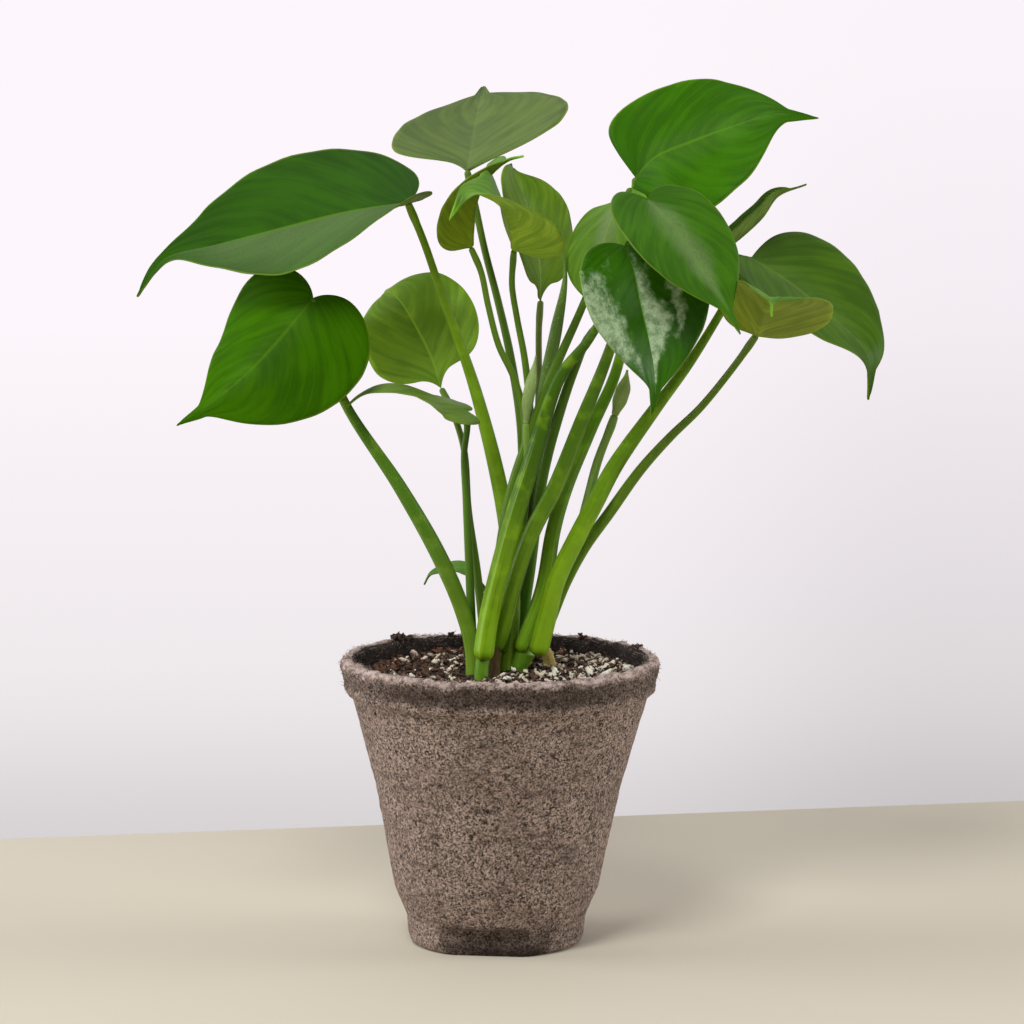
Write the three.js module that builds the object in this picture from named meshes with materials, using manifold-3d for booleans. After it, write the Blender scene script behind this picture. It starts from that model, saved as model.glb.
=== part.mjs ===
// A young swiss cheese plant (Monstera deliciosa) in a round pot of pressed plant fibre.
// Millimetres, +Z up. The origin is the centre of the pot's underside, and -Y is the front.
// The pot is a thin shell filled with bark and perlite mix. Four short crowns stand in holes in the mix. Leaf
// stalks rise from them to sixteen heart-shaped blades and three leaves that are still rolled up.
import * as THREE from "three";
import { mergeVertices } from "three/addons/utils/BufferGeometryUtils.js";
import Module from "manifold-3d";

const wasm = await Module();
wasm.setup();

const DEGREE = Math.PI / 180;
const CLEARANCE = 0.3; // left between two pieces that touch on the real plant

// Pot: a moulded shell with a rolled lip. Its round foot is pressed flat at the front and at the back.
const POT_HEIGHT = 99.6;
const LIP_RADIUS = 55;
const LIP_HEIGHT = 12.6;
const NECK_RADIUS = 51; // outside of the wall just under the lip
const SHOULDER_RADIUS = 35.4; // outside of the wall just above the foot
const SHOULDER_HEIGHT = 20;
const FOOT_RADIUS = 31.5;
const FOOT_HEIGHT = 12;
const WALL = 3;
const FLOOR = 3;
const PANEL_DISTANCE = 27; // from the middle of the foot out to each flat panel
const PANEL_HEIGHT = 8.8;
const PANEL_TURN = -97; // degrees from +X round to the middle of the front panel
const HOLLOW_RADIUS = 23.5; // inside of the shell at its floor, behind the panels
const POT_SECTORS = 48;
const LIP_ROUGHNESS = 0.35;
// Crumbs of mix that stick to the lip: x, y and size.
const CRUMBS = [[-36, 36, 2.6], [-32, 39, 1.6], [-17.5, 47.5, 1.2], [29, 42, 1.4], [48, 20, 1.5]];
const PLANT_PLACE = [1.4, 0, 0.8]; // how far the lip and the plant stand off the middle of the foot

// Potting mix: it lies a little higher at the back than at the front. Perlite and bark are half sunk in it.
const MIX_HEIGHT = 91.8;
const MIX_RISE = 1.9; // from the middle to the back wall
const MIX_GAP = 0.5; // between the mix and the wall
const MIX_SECTORS = 36;
const MIX_RINGS = 6;
const PERLITE_COUNT = 30;
const BARK_COUNT = 20;
const LUMPS_FROM = 15; // distance from the middle where the lumps start, and how far on they reach
const LUMPS_REACH = 28;
const CHIP_SIZE = [2.6, 1.2, 7.5]; // a flat straw-coloured piece of bark that stands on end
const CHIP_PLACE = [16.5, 14, 94.9];
const CHIP_LEAN = 24; // degrees to the left

// Blades: thin sheets with a raised midrib underneath.
const BLADE_THICKNESS = 0.7;
const MIDRIB_DEPTH = 0.7;
const OUTLINE_STEPS = [3, 4, 5, 3]; // rows along the lobe's back, its side, the long flank and the drip tip
const HALF_COLUMNS = 3;
const DRIP_START = 0.85; // how far along the blade its drip tip starts
const STALK_SIDES = 6;
const ROLLED_SIDES = 8;
const ROLLED_STEPS = 9;

const COLOURS = {
  leaf: 0x3f8a28,
  youngLeaf: 0x86ab3a,
  stalk: 0x6d9d33,
  crown: 0x6b7a34,
  pot: 0x86756b,
  mix: 0x4a3529,
};

// Each blade follows the line of its midrib, from where the stalk meets it to the end of its drip tip.
// half, lobe and widest are for the left and the right half: its width, how far its lobe reaches back past
// the stalk, and how far along the blade it is widest. shoulder is how full both are before the drip tip.
// face is the way the upper side looks at the base and at the tip. left and right are how far each half is
// folded up from flat, in degrees at the base, middle and tip. turn is how much further its margin turns.
const BLADES = [
  {
    name: "leaf_01_far_left",
    half: [41, 41], lobe: [10, 4], widest: [0.27, 0.27], shoulder: 0.14, turn: [0, 0],
    face: [[-0.25, -0.3, 0.93], [-0.3, -0.42, 0.85]],
    left: [20, 1, 12], right: [4, 14, 8],
    midrib: [[-31.5, 5, 255], [-51, 6, 251.5], [-75, 7, 245.5], [-97.5, 6, 240], [-114.5, 4, 235.5],
      [-124, 2, 223]],
  },
  {
    name: "leaf_02_low_left",
    half: [30, 31], lobe: [7, 5], widest: [0.24, 0.24], shoulder: 0.2, turn: [-6, -10],
    face: [[-0.32, -0.88, 0.34], [-0.32, -0.88, 0.34]],
    left: [-20, -20, -14], right: [-2, -29, -26],
    midrib: [[-63, -16, 224], [-68.5, -20, 217.5], [-76.5, -26, 208.5], [-87, -31, 198],
      [-98.5, -34, 189], [-108, -36, 183]],
  },
  {
    name: "leaf_03_back_left",
    half: [20.5, 21.5], lobe: [-4, -7], widest: [0.32, 0.42], shoulder: 0.5, turn: [-8, -8],
    face: [[0, -0.9, 0.4], [-0.1, -0.8, 0.6]],
    left: [14, 8, 0], right: [14, 8, 0],
    midrib: [[-20.5, 22, 189.5], [-24, 25, 200], [-29.5, 29, 210.5], [-35, 36, 218.5], [-40, 45, 221],
      [-41.5, 52, 217]],
  },
  {
    name: "leaf_04_arched",
    half: [15.5, 14.5], lobe: [6, 4], widest: [0.24, 0.24], shoulder: 0.17, turn: [-6, -8],
    face: [[0, -0.15, 1], [-0.3, -0.15, 0.9]],
    left: [-8, -10, -12], right: [0, -12, -20],
    midrib: [[-12.5, 2, 184.5], [-22, 0, 189], [-32.5, -5, 193.5], [-40.5, -10, 194], [-47.5, -14, 191],
      [-52.5, -17, 187]],
  },
  {
    name: "leaf_05_top",
    half: [28.5, 36], lobe: [-6, -1], widest: [0.3, 0.3], shoulder: 0.25, turn: [-6, -6],
    face: [[-0.2, -0.3, 0.93], [-0.2, -0.3, 0.93]],
    left: [18, 12, 4], right: [18, 12, 4],
    midrib: [[-11.5, 30, 264.5], [-10, 45, 271], [-9, 62, 278], [-7.5, 80, 285.5], [-6, 98, 291]],
  },
  {
    name: "leaf_06_cupped",
    half: [14, 14.5], lobe: [0, 0], widest: [0.24, 0.24], shoulder: 0.5, turn: [0, 0],
    face: [[-0.7, 0.6, 0.3], [-0.6, 0.2, 0.75]],
    left: [40, 34, 20], right: [14, 14, 14],
    midrib: [[-10, 6, 239.5], [-9.5, 3, 248.5], [-8, -1, 256], [-5.5, -6, 262], [-1.5, -11, 267],
      [3, -15, 270.5], [8, -17, 272]],
  },
  {
    name: "leaf_07_nodding",
    half: [20, 17], lobe: [1, 1], widest: [0.24, 0.24], shoulder: 0.1, turn: [0, 0],
    face: [[0.6, 0.6, 0.5], [0.5, -0.1, 0.85]],
    left: [15, 12, 10], right: [38, 34, 20],
    midrib: [[4.8, -6, 239.5], [4, -12, 246.5], [1.8, -20, 253.5], [-3.2, -28, 258.5],
      [-11, -33, 260.5], [-16.8, -36, 251.5]],
  },
  {
    name: "leaf_08_upright",
    half: [18, 16.5], lobe: [-6, -6], widest: [0.5, 0.5], shoulder: 0.6, turn: [0, 0],
    face: [[0.74, -0.67, 0.2], [0.74, -0.67, 0.2]],
    left: [20, 20, 14], right: [20, 16, 8],
    midrib: [[14, 22, 220], [13.5, 23, 231.5], [11, 25, 245], [7.5, 28, 257], [4.5, 33, 264.5],
      [3, 41, 266]],
  },
  {
    name: "leaf_09_behind",
    half: [20, 12.5], lobe: [0, -10], widest: [0.5, 0.5], shoulder: 0.3, turn: [0, 0],
    face: [[-0.5, -0.75, 0.3], [-0.5, -0.75, 0.3]],
    left: [10, 8, 6], right: [10, 8, 6],
    midrib: [[45, 11, 259.5], [39.5, 9, 252], [35.5, 6, 242], [33, 3, 230], [33, 0, 212]],
  },
  {
    name: "leaf_10_glossy",
    half: [25, 24], lobe: [4, 2], widest: [0.24, 0.24], shoulder: 0.2, turn: [0, 0],
    face: [[0.37, -0.93, 0.3], [0.4, -0.9, 0.25]],
    left: [18, 16, 14], right: [18, 16, 14],
    midrib: [[41.5, -30, 242.5], [44.5, -33, 235], [46.5, -37, 225], [49.5, -40, 212], [51.5, -42, 199],
      [50.5, -41, 187]],
  },
  {
    name: "leaf_11_front",
    half: [19, 23], lobe: [3, 7], widest: [0.24, 0.24], shoulder: 0.2, turn: [0, 0],
    face: [[0.4, -0.65, 0.65], [0.4, -0.7, 0.55]],
    left: [6, 5, 4], right: [6, 5, 4],
    midrib: [[49.5, -34, 258], [56.5, -39, 251.5], [63, -45, 242.5], [70, -52, 231.3], [75, -57, 223.5],
      [79, -61, 216]],
  },
  {
    name: "leaf_12_top_right",
    half: [23.5, 31.5], lobe: [0, 6], widest: [0.24, 0.24], shoulder: 0.2, turn: [0, 0],
    face: [[-0.2, -0.8, 0.55], [-0.1, -0.85, 0.5]],
    left: [8, 6, 4], right: [8, 6, 4],
    midrib: [[46.5, 14, 263], [53, 11, 270], [65, 7, 275.5], [78, 3, 280.5], [93, 0, 285],
      [108, -2, 284]],
  },
  {
    name: "leaf_13_furled",
    half: [5.8, 5.8], lobe: [1, 1], widest: [0.35, 0.35], shoulder: 0.4, turn: [0, 0],
    face: [[-0.5, -0.3, 0.7], [-0.5, -0.3, 0.7]],
    left: [60, 66, 50], right: [60, 66, 50],
    midrib: [[75, 22, 236], [84, 23, 242.5], [90.5, 24, 248.5], [96, 25, 256], [106, 26, 260]],
  },
  {
    name: "leaf_14_far_right",
    half: [32, 26], lobe: [1, 5], widest: [0.24, 0.24], shoulder: 0.25, turn: [0, 0],
    face: [[0.5, -0.35, 0.8], [0.6, -0.4, 0.6]],
    left: [14, 14, 12], right: [2, 2, 4],
    midrib: [[86, 6, 236], [97.5, 2, 228.5], [109, -2, 219.5], [119, -5, 211], [125, -7, 204],
      [125.5, -7, 188.5]],
  },
  {
    name: "leaf_15_curled",
    half: [24, 17], lobe: [3, 1], widest: [0.3, 0.3], shoulder: 0.85, turn: [0, 0],
    face: [[0, 0.45, 0.9], [0, 0.3, 0.95]],
    left: [4, 4, 0], right: [26, 46, 20],
    midrib: [[86.2, -26, 212.5], [87.2, -36, 219], [88.7, -45, 224], [89.2, -51, 227], [89.7, -54, 221]],
  },
  {
    name: "leaf_16_small",
    half: [3.2, 3.2], lobe: [1, 1], widest: [0.3, 0.3], shoulder: 0.3, turn: [0, 0],
    face: [[0, -0.55, 0.85], [-0.3, -0.3, 0.9]],
    left: [0, 0, 0], right: [0, 0, 0],
    midrib: [[-9.3, 19, 125], [-14, 20, 127.2], [-19.6, 20.5, 126.5], [-24.5, 20, 124.5],
      [-26.6, 19, 121]],
  },
];

// Leaves that haven't opened yet: a blade rolled round itself, thickest in the middle.
const ROLLED = [
  {
    name: "leaf_17_spear", radius: 2.2,
    route: [[12.6, 12.5, 167], [15.5, 11, 192], [19.2, 9, 211], [22.3, 7, 230], [21.2, 6, 241]],
  },
  {
    name: "leaf_18_rolled", radius: 2.2,
    route: [[9, 0.5, 180], [9.5, -0.5, 187], [11, -1, 195], [12.3, -0.5, 203]],
  },
  {
    name: "leaf_19_rolled", radius: 2.7,
    route: [[39.5, 3, 182.5], [41, 2, 187], [42.5, 1, 192], [43.5, 0, 198]],
  },
];

// Crowns: the short thick stems that come out of the potting mix.
const CROWNS = [
  {
    name: "crown_front", radii: [2.6, 2.5, 2.2],
    route: [[-6.8, -5, 82], [-6.5, -5, 92], [-6, -5, 101]],
  },
  {
    name: "crown_middle", radii: [2.4, 2.3, 2],
    route: [[-2.6, 0, 82], [-2.4, 0, 92], [-1.8, 0.5, 104]],
  },
  {
    name: "crown_right", radii: [3.4, 3.4, 3.6],
    route: [[4.5, 9, 82], [5.5, 9, 92], [9.5, 7, 101]],
  },
  {
    name: "crown_back", radii: [5.2, 5.2, 4.6],
    route: [[3, 21, 82], [3.2, 21, 92], [3.5, 20, 103]],
  },
];

// Stalks, each with the number of its leaf. radii are at the foot, a third of the way up and at the top.
// Where two stalks press together, the one that comes later in this list gives way.
const STALKS = [
  {
    name: "stalk_10", radii: [3.5, 3.3, 1.3],
    route: [[-5.6, -5, 100.5], [-4.1, -5, 111.5], [0, -6, 130], [5.5, -7, 150.5], [11.5, -8, 169.5],
      [20.5, -12, 197], [30, -17, 210], [36.5, -24, 223], [41.5, -30, 242.5]],
  },
  {
    name: "stalk_14", radii: [3.5, 3.1, 1.4],
    route: [[13.4, 1, 101.5], [15.8, 1, 111], [19.2, 0, 124.8], [25.6, 0, 138.7], [32.6, 0, 152.2],
      [39.4, 0, 165], [53, 0, 184.6], [65, 1, 200.8], [76, 3, 218.4], [86, 6, 236]],
  },
  {
    name: "stalk_02", radii: [2.6, 2.8, 1.4],
    route: [[-9.4, 2.5, 82], [-9.6, 2, 101], [-13.1, 0, 115.3], [-21.2, -4, 135], [-34.1, -8, 158.7],
      [-52.7, -10, 187.8], [-60, -9, 207.6], [-63, -16, 224]],
  },
  {
    name: "stalk_11", radii: [3.1, 2.9, 1.2],
    route: [[-1.4, 2, 103.5], [1, 1, 108], [5.5, 0, 126.2], [11.3, -2, 142.8], [19, -4, 158.2],
      [28, -8, 181.8], [36.5, -12, 204], [44.8, -18, 232.5], [47.8, -22, 248], [49.5, -34, 258]],
  },
  {
    name: "stalk_12", radii: [3.1, 2.5, 1.3],
    route: [[8, 5.5, 102], [14.8, 8, 120.8], [18.3, 8, 141.4], [22.7, 8, 156.7], [31, 8, 176.5],
      [40, 9, 197], [46, 12, 231], [46.5, 14, 263]],
  },
  {
    name: "stalk_01", radii: [3, 2.9, 1.3],
    route: [[2.6, 9, 82], [2.7, 9.5, 94], [4.1, 13, 116.3], [1.7, 16, 145.7], [-8, 13, 188],
      [-20.3, 10, 224], [-26, 9, 241], [-31.5, 5, 255]],
  },
  {
    name: "stalk_15", radii: [2.3, 2, 1.2],
    route: [[12, 9, 100], [16.5, 11, 108.3], [22.4, 9.5, 123], [29, 7, 135.7], [37.8, 4, 148.5],
      [48, -1, 163.6], [58, -7, 175.8], [68, -13, 186.5], [79, -20, 201.3], [86.2, -26, 212.5]],
  },
  {
    name: "stalk_09", radii: [2.3, 2.2, 1.2],
    route: [[-2.6, 7, 82], [-2.6, 7, 110], [0, 6, 132], [4.4, 4, 156.4], [11, 1, 177.3], [17.8, 2, 196],
      [27.4, 5, 217.5], [34.5, 8, 234.4], [41, 10.5, 252], [45, 11, 259.5]],
  },
  {
    name: "stalk_13", radii: [2.4, 2, 1.2],
    route: [[5.7, 17.8, 99], [9.7, 16.4, 124], [14.8, 12.6, 160.6], [20.6, 11.6, 182.4], [25.8, 12.4, 197.5],
      [31, 14, 208.7], [48.3, 18, 224], [62, 21, 231], [75, 22, 236]],
  },
  {
    name: "stalk_04", radii: [1.6, 1.5, 1.1],
    route: [[-9.6, 8.5, 82], [-9.6, 8.5, 101], [-10.2, 6, 118], [-11.7, 5.5, 152.6], [-12.4, 6, 168],
      [-11.3, 5, 178.7], [-12.5, 2, 184.5]],
  },
  {
    name: "stalk_03", radii: [1.6, 1.5, 1.1],
    route: [[-5.8, 12, 82], [-5.8, 12, 103], [-8, 12, 126], [-11.1, 14, 148], [-12.5, 17, 168.6],
      [-16.7, 20, 182], [-20.5, 22, 189.5]],
  },
  {
    name: "stalk_07", radii: [1.7, 1.6, 1.05],
    route: [[1, 6, 99], [3.2, 6.5, 116], [7, 7, 138.4], [10.3, 7, 180], [8.6, 5, 200.3],
      [5.8, 3, 215.6], [4.1, 0, 227], [4.5, -3, 235.8], [4.8, -6, 239.5]],
  },
  {
    name: "stalk_08", radii: [1.8, 1.6, 1.1],
    route: [[7, 21, 99], [9.7, 19, 130.4], [12.8, 16.4, 168.6], [13.4, 18, 192.7], [13.4, 20, 210],
      [14, 22, 220]],
  },
  {
    name: "stalk_05", radii: [1.9, 1.7, 1.2],
    route: [[-0.5, 20, 99], [6, 20, 130.5], [7.6, 18, 172], [3.8, 20, 199.5], [-0.4, 23, 218.3],
      [-5.3, 26, 237], [-8.7, 28, 252.6], [-11.5, 30, 264.5]],
  },
  {
    name: "stalk_06", radii: [1.6, 1.5, 1.05],
    route: [[1.2, 16.5, 99], [6, 14, 137.9], [8.9, 12.5, 176], [4.8, 12, 194], [-0.4, 11, 205.2],
      [-4.1, 10, 219.4], [-6.5, 8, 231], [-10, 6, 239.5]],
  },
  {
    name: "stalk_19", radii: [1.8, 1.6, 1.4],
    route: [[28.6, 4.2, 146], [30, 4.3, 152], [33.6, 4, 166.3], [38, 3.6, 178], [39.5, 3, 182.5]],
  },
  {
    name: "stalk_18", radii: [1.5, 1.4, 1.3],
    route: [[6.4, 3.4, 148], [8.8, 1.5, 164], [9.2, 0.5, 172], [9, 0.5, 180]],
  },
  {
    name: "stalk_16", radii: [0.9, 0.8, 0.7],
    route: [[0.5, 18.5, 100], [-1.5, 17, 110], [-4.6, 16, 118.6], [-6.7, 17, 121.5], [-9.3, 19, 125]],
  },
];

// A solid for manifold-3d from a closed three.js geometry, and back again.
function solidOf(geometry) {
  const bare = new THREE.BufferGeometry();
  bare.setAttribute("position", geometry.getAttribute("position"));
  if (geometry.index) bare.setIndex(geometry.index);
  const merged = mergeVertices(bare, 1e-4);
  return new wasm.Manifold(
    new wasm.Mesh({
      numProp: 3,
      vertProperties: new Float32Array(merged.attributes.position.array),
      triVerts: new Uint32Array(merged.index.array),
    }),
  );
}

function geometryOf(solid) {
  const mesh = solid.getMesh();
  const geometry = new THREE.BufferGeometry();
  geometry.setAttribute("position", new THREE.BufferAttribute(mesh.vertProperties, 3));
  geometry.setIndex(new THREE.BufferAttribute(mesh.triVerts, 1));
  geometry.computeVertexNormals();
  return geometry;
}

// The largest body of a solid, once cuts have left scraps.
function largestBody(solid) {
  return solid.decompose().reduce((a, b) => (b.volume() > a.volume() ? b : a));
}

const smoothstep = (t) => {
  const s = Math.min(1, Math.max(0, t));
  return s * s * (3 - 2 * s);
};
const mix = (a, b, t) => a + (b - a) * t;

// Outline of one half of a heart-shaped blade, from the notch at the stalk round the lobe to the drip tip.
// x runs along the midrib and y out from it, in millimetres.
function halfOutline(length, blade, k) {
  const [half, lobe, widest, shoulder] = [blade.half[k], blade.lobe[k], blade.widest[k], blade.shoulder];
  const at = (x, y) => new THREE.Vector2(x, y * half);
  const far = (t) => t * length;
  const arcs = [
    new THREE.CubicBezierCurve(at(0, 0), at(-0.5 * lobe, 0.06), at(-lobe, 0.2), at(-lobe, 0.35)),
    new THREE.CubicBezierCurve(at(-lobe, 0.35), at(-lobe, 0.62), at(far(widest - 0.22), 1),
      at(far(widest), 1)),
    new THREE.CubicBezierCurve(at(far(widest), 1), at(far(mix(widest, DRIP_START, 0.6)), 1),
      at(far(0.74 + 0.1 * shoulder), shoulder), at(far(DRIP_START), 0.09)),
    new THREE.CubicBezierCurve(at(far(DRIP_START), 0.09), at(far(0.9), 0.064), at(far(0.96), 0.03),
      at(far(1), 0)),
  ];
  return arcs.flatMap((arc, i) => arc.getPoints(OUTLINE_STEPS[i]).slice(i === 0 ? 0 : 1));
}

const curveThrough = (route) => (
  new THREE.CatmullRomCurve3(route.map((p) => new THREE.Vector3(...p)), false, "centripetal")
);

// The midrib's length, and at each place on it the point, the way out to the left and the blade's up.
// Behind the stalk, where only the lobes reach, it carries on straight.
function midribOf({ midrib, face }) {
  const curve = curveThrough(midrib);
  const length = curve.getLength();
  const faces = face.map((f) => new THREE.Vector3(...f));
  const frameAt = (s) => {
    const t = Math.min(1, Math.max(0, s));
    const point = curve.getPointAt(t);
    const along = curve.getTangentAt(t);
    if (s < 0) point.addScaledVector(along, s * length);
    const left = faces[0].clone().lerp(faces[1], t).cross(along).normalize();
    return { point, left, up: along.clone().cross(left) };
  };
  return { length, frameAt };
}

// A place on the blade's middle surface: x along the midrib, y out from it, side +1 for left, -1 for right.
// Across each half the section is a circular arc that starts at the fold and turns on towards the margin.
function placeOnBlade(blade, { length, frameAt }, x, y, side) {
  const s = x / length;
  const { point, left, up } = frameAt(s);
  const half = side > 0 ? 0 : 1;
  const [base, middle, tip] = [blade.left, blade.right][half];
  const t = Math.min(1, Math.max(0, s));
  const start = (s < 0.5 ? mix(middle, base, (1 - 2 * s) ** 2) : mix(middle, tip, 2 * t - 1)) * DEGREE;
  const bend = (blade.turn[half] * DEGREE) / blade.half[half];
  const end = start + bend * y;
  const flat = Math.abs(bend) < 1e-5;
  const out = flat ? y * Math.cos(start) : (Math.sin(end) - Math.sin(start)) / bend;
  const rise = flat ? y * Math.sin(start) : (Math.cos(start) - Math.cos(end)) / bend;
  const place = point.clone().addScaledVector(left, side * out).addScaledVector(up, rise);
  const normal = up.clone().multiplyScalar(Math.cos(end)).addScaledVector(left, -side * Math.sin(end));
  return { place, normal };
}

// The blade as one closed sheet, with both faces split into triangles alike. extra is how much larger it is
// made on every side, to cut its neighbours clear.
function bladeGeometry(blade, extra = 0) {
  const midrib = midribOf(blade);
  const { length } = midrib;
  const outlines = [0, 1].map((k) => halfOutline(length, blade, k));
  const rows = outlines[0].length - 1;
  const tipRow = rows - OUTLINE_STEPS[3];
  const thickness = BLADE_THICKNESS + 2 * extra;
  const positions = [];
  const put = (x, y, side) => {
    const { place, normal } = placeOnBlade(blade, midrib, x, y, side);
    const onRib = y < 1e-6 ? MIDRIB_DEPTH * (1 - 0.8 * Math.min(1, Math.max(0, x / length))) : 0;
    const index = positions.length / 3;
    positions.push(...place.clone().addScaledVector(normal, thickness / 2).toArray());
    positions.push(...place.clone().addScaledVector(normal, -thickness / 2 - onRib).toArray());
    return index;
  };
  const grid = outlines[0].map((_, i) => {
    if (i === 0 || i === rows) return [put(i === 0 ? -extra : length + extra, 0, 1)];
    const x = i < tipRow ? DRIP_START * length * Math.pow(i / tipRow, 1.7) : outlines[0][i].x;
    const line = [];
    for (let c = -HALF_COLUMNS; c <= HALF_COLUMNS; c++) {
      const t = Math.abs(c) / HALF_COLUMNS;
      const edge = outlines[c < 0 ? 1 : 0][i];
      const edgeX = i > OUTLINE_STEPS[0] ? edge.x : edge.x - extra;
      line.push(put(mix(x, edgeX, t), (edge.y + extra) * t, c < 0 ? -1 : 1));
    }
    return line;
  });
  const faces = [];
  const both = (a, b, c) => {
    faces.push(a, b, c);
    faces.push(a + 1, c + 1, b + 1);
  };
  const wall = (a, b) => faces.push(a, a + 1, b + 1, a, b + 1, b);
  const width = 2 * HALF_COLUMNS;
  for (let c = 0; c < width; c++) {
    both(grid[0][0], grid[1][c], grid[1][c + 1]);
    both(grid[rows][0], grid[rows - 1][c + 1], grid[rows - 1][c]);
    for (let i = 1; i < rows - 1; i++) {
      const [a, b] = [grid[i][c], grid[i][c + 1]];
      const [d, e] = [grid[i + 1][c], grid[i + 1][c + 1]];
      if (c < HALF_COLUMNS) {
        both(a, d, b);
        both(b, d, e);
      } else {
        both(a, e, b);
        both(a, d, e);
      }
    }
  }
  for (let i = 0; i < rows; i++) {
    const right = (k) => grid[k][0];
    const left = (k) => grid[k][grid[k].length - 1];
    wall(right(i), right(i + 1));
    wall(left(i + 1), left(i));
  }
  const geometry = new THREE.BufferGeometry();
  geometry.setAttribute("position", new THREE.Float32BufferAttribute(positions, 3));
  geometry.setIndex(faces);
  geometry.computeVertexNormals();
  return geometry;
}

// A tube along a smooth curve through the route. Its radius depends on how far along and how far round it is.
// extra is how much larger it is made on every side.
function tubeGeometry(route, steps, sides, radiusAt, extra) {
  const curve = curveThrough(route);
  const frames = curve.computeFrenetFrames(steps, false);
  const centres = curve.getSpacedPoints(steps);
  centres[0].addScaledVector(frames.tangents[0], -extra);
  centres[steps].addScaledVector(frames.tangents[steps], extra);
  const rings = centres.map((centre, i) => Array.from({ length: sides }, (_, k) => {
    const angle = (2 * Math.PI * k) / sides;
    const radius = radiusAt(i / steps, k / sides) + extra;
    return centre.clone().addScaledVector(frames.normals[i], radius * Math.cos(angle))
      .addScaledVector(frames.binormals[i], radius * Math.sin(angle));
  }));
  return loftGeometry(rings, centres[0], centres[steps]);
}

// A tapering round stalk. radii are at the foot, a third of the way up and at the top.
function stalkGeometry({ route, radii: [foot, third, top] }, extra = 0) {
  const radiusAt = (t) => (
    t < 0.3 ? mix(foot, third, t / 0.3) : mix(third, top, smoothstep((t - 0.3) / 0.6))
  );
  return tubeGeometry(route, route.length + 5, STALK_SIDES, radiusAt, extra);
}

// A rolled leaf: a spindle with a step along it where the outer margin lies.
function rolledGeometry({ route, radius }, extra = 0) {
  const swell = (t) => 0.5 + 0.5 * smoothstep(t / 0.35);
  const taper = (t) => 1 - 0.85 * smoothstep((t - 0.55) / 0.45);
  const radiusAt = (t, round) => radius * swell(t) * taper(t) * (1 - 0.18 * round);
  return tubeGeometry(route, ROLLED_STEPS, ROLLED_SIDES, radiusAt, extra);
}

// A closed skin over a row of rings with the same number of points, with a point at each end.
function loftGeometry(rings, first, last) {
  const sides = rings[0].length;
  const positions = rings.flat().flatMap((p) => p.toArray()).concat(first.toArray(), last.toArray());
  const start = rings.length * sides;
  const faces = [];
  for (let k = 0; k < sides; k++) {
    const next = (k + 1) % sides;
    for (let i = 0; i + 1 < rings.length; i++) {
      const [a, b] = [i * sides + k, i * sides + next];
      faces.push(a, b, b + sides, a, b + sides, a + sides);
    }
    faces.push(start, next, k, start + 1, start - sides + k, start - sides + next);
  }
  const geometry = new THREE.BufferGeometry();
  geometry.setAttribute("position", new THREE.Float32BufferAttribute(positions, 3));
  geometry.setIndex(faces);
  return geometry;
}

// Numbers from 0 to 1 that look random and are the same each time.
const randomFrom = (seed) => {
  let state = seed;
  return () => {
    state = (state * 1664525 + 1013904223) % 4294967296;
    return state / 4294967296;
  };
};

const LIP_BOTTOM = POT_HEIGHT - LIP_HEIGHT;

// Outside of the pot's wall between its foot and its lip, and how far it leans over at a height.
const wallRadius = (z) => (
  mix(SHOULDER_RADIUS, NECK_RADIUS, (z - SHOULDER_HEIGHT) / (LIP_BOTTOM - SHOULDER_HEIGHT))
);
const leanAt = (z) => PLANT_PLACE[0] * smoothstep(z / POT_HEIGHT);

// The pot's shell, from the foot up its outside, over the lip and down its inside to the floor. Each row of
// the profile has a radius and a height, how far out a flat panel may lie, and whether the row is rough.
function potGeometry() {
  const random = randomFrom(7);
  const profile = [
    [FOOT_RADIUS - 5, 0, PANEL_DISTANCE - 1],
    [FOOT_RADIUS - 2.4, 1.4, PANEL_DISTANCE],
    [FOOT_RADIUS - 1, 5, PANEL_DISTANCE],
    [FOOT_RADIUS - 0.5, PANEL_HEIGHT, PANEL_DISTANCE],
    [FOOT_RADIUS, FOOT_HEIGHT - 1.4],
    [SHOULDER_RADIUS, SHOULDER_HEIGHT],
    [wallRadius(55) - 0.9, 55],
    [NECK_RADIUS, LIP_BOTTOM],
    [LIP_RADIUS - 1.4, LIP_BOTTOM + 2, Infinity, true],
    [LIP_RADIUS, LIP_BOTTOM + 6.5, Infinity, true],
    [LIP_RADIUS - 0.6, POT_HEIGHT - 1.6, Infinity, true],
    [LIP_RADIUS - 2.2, POT_HEIGHT, Infinity, true],
    [NECK_RADIUS - 0.8, POT_HEIGHT - 0.5, Infinity, true],
    [NECK_RADIUS - 1.8, POT_HEIGHT - 3.5, Infinity, true],
    [NECK_RADIUS - WALL, LIP_BOTTOM],
    [SHOULDER_RADIUS - WALL, SHOULDER_HEIGHT],
    [HOLLOW_RADIUS + 1, FOOT_HEIGHT - 2],
    [HOLLOW_RADIUS, FLOOR],
  ];
  const rings = profile.map(([r, z, panel = Infinity, isRough = false]) => {
    const rough = () => (isRough ? LIP_ROUGHNESS * (random() - 0.5) : 0);
    return Array.from({ length: POT_SECTORS }, (_, k) => {
      const turn = (2 * Math.PI * k) / POT_SECTORS;
      const fromPanel = Math.abs(((turn + Math.PI / 2) % Math.PI) - Math.PI / 2);
      const radius = Math.min(r, panel / Math.cos(fromPanel)) + rough();
      const angle = PANEL_TURN * DEGREE + turn;
      return new THREE.Vector3(radius * Math.cos(angle) + leanAt(z), radius * Math.sin(angle), z + rough());
    });
  });
  return loftGeometry(rings, new THREE.Vector3(0, 0, 0), new THREE.Vector3(0, 0, FLOOR));
}

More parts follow.
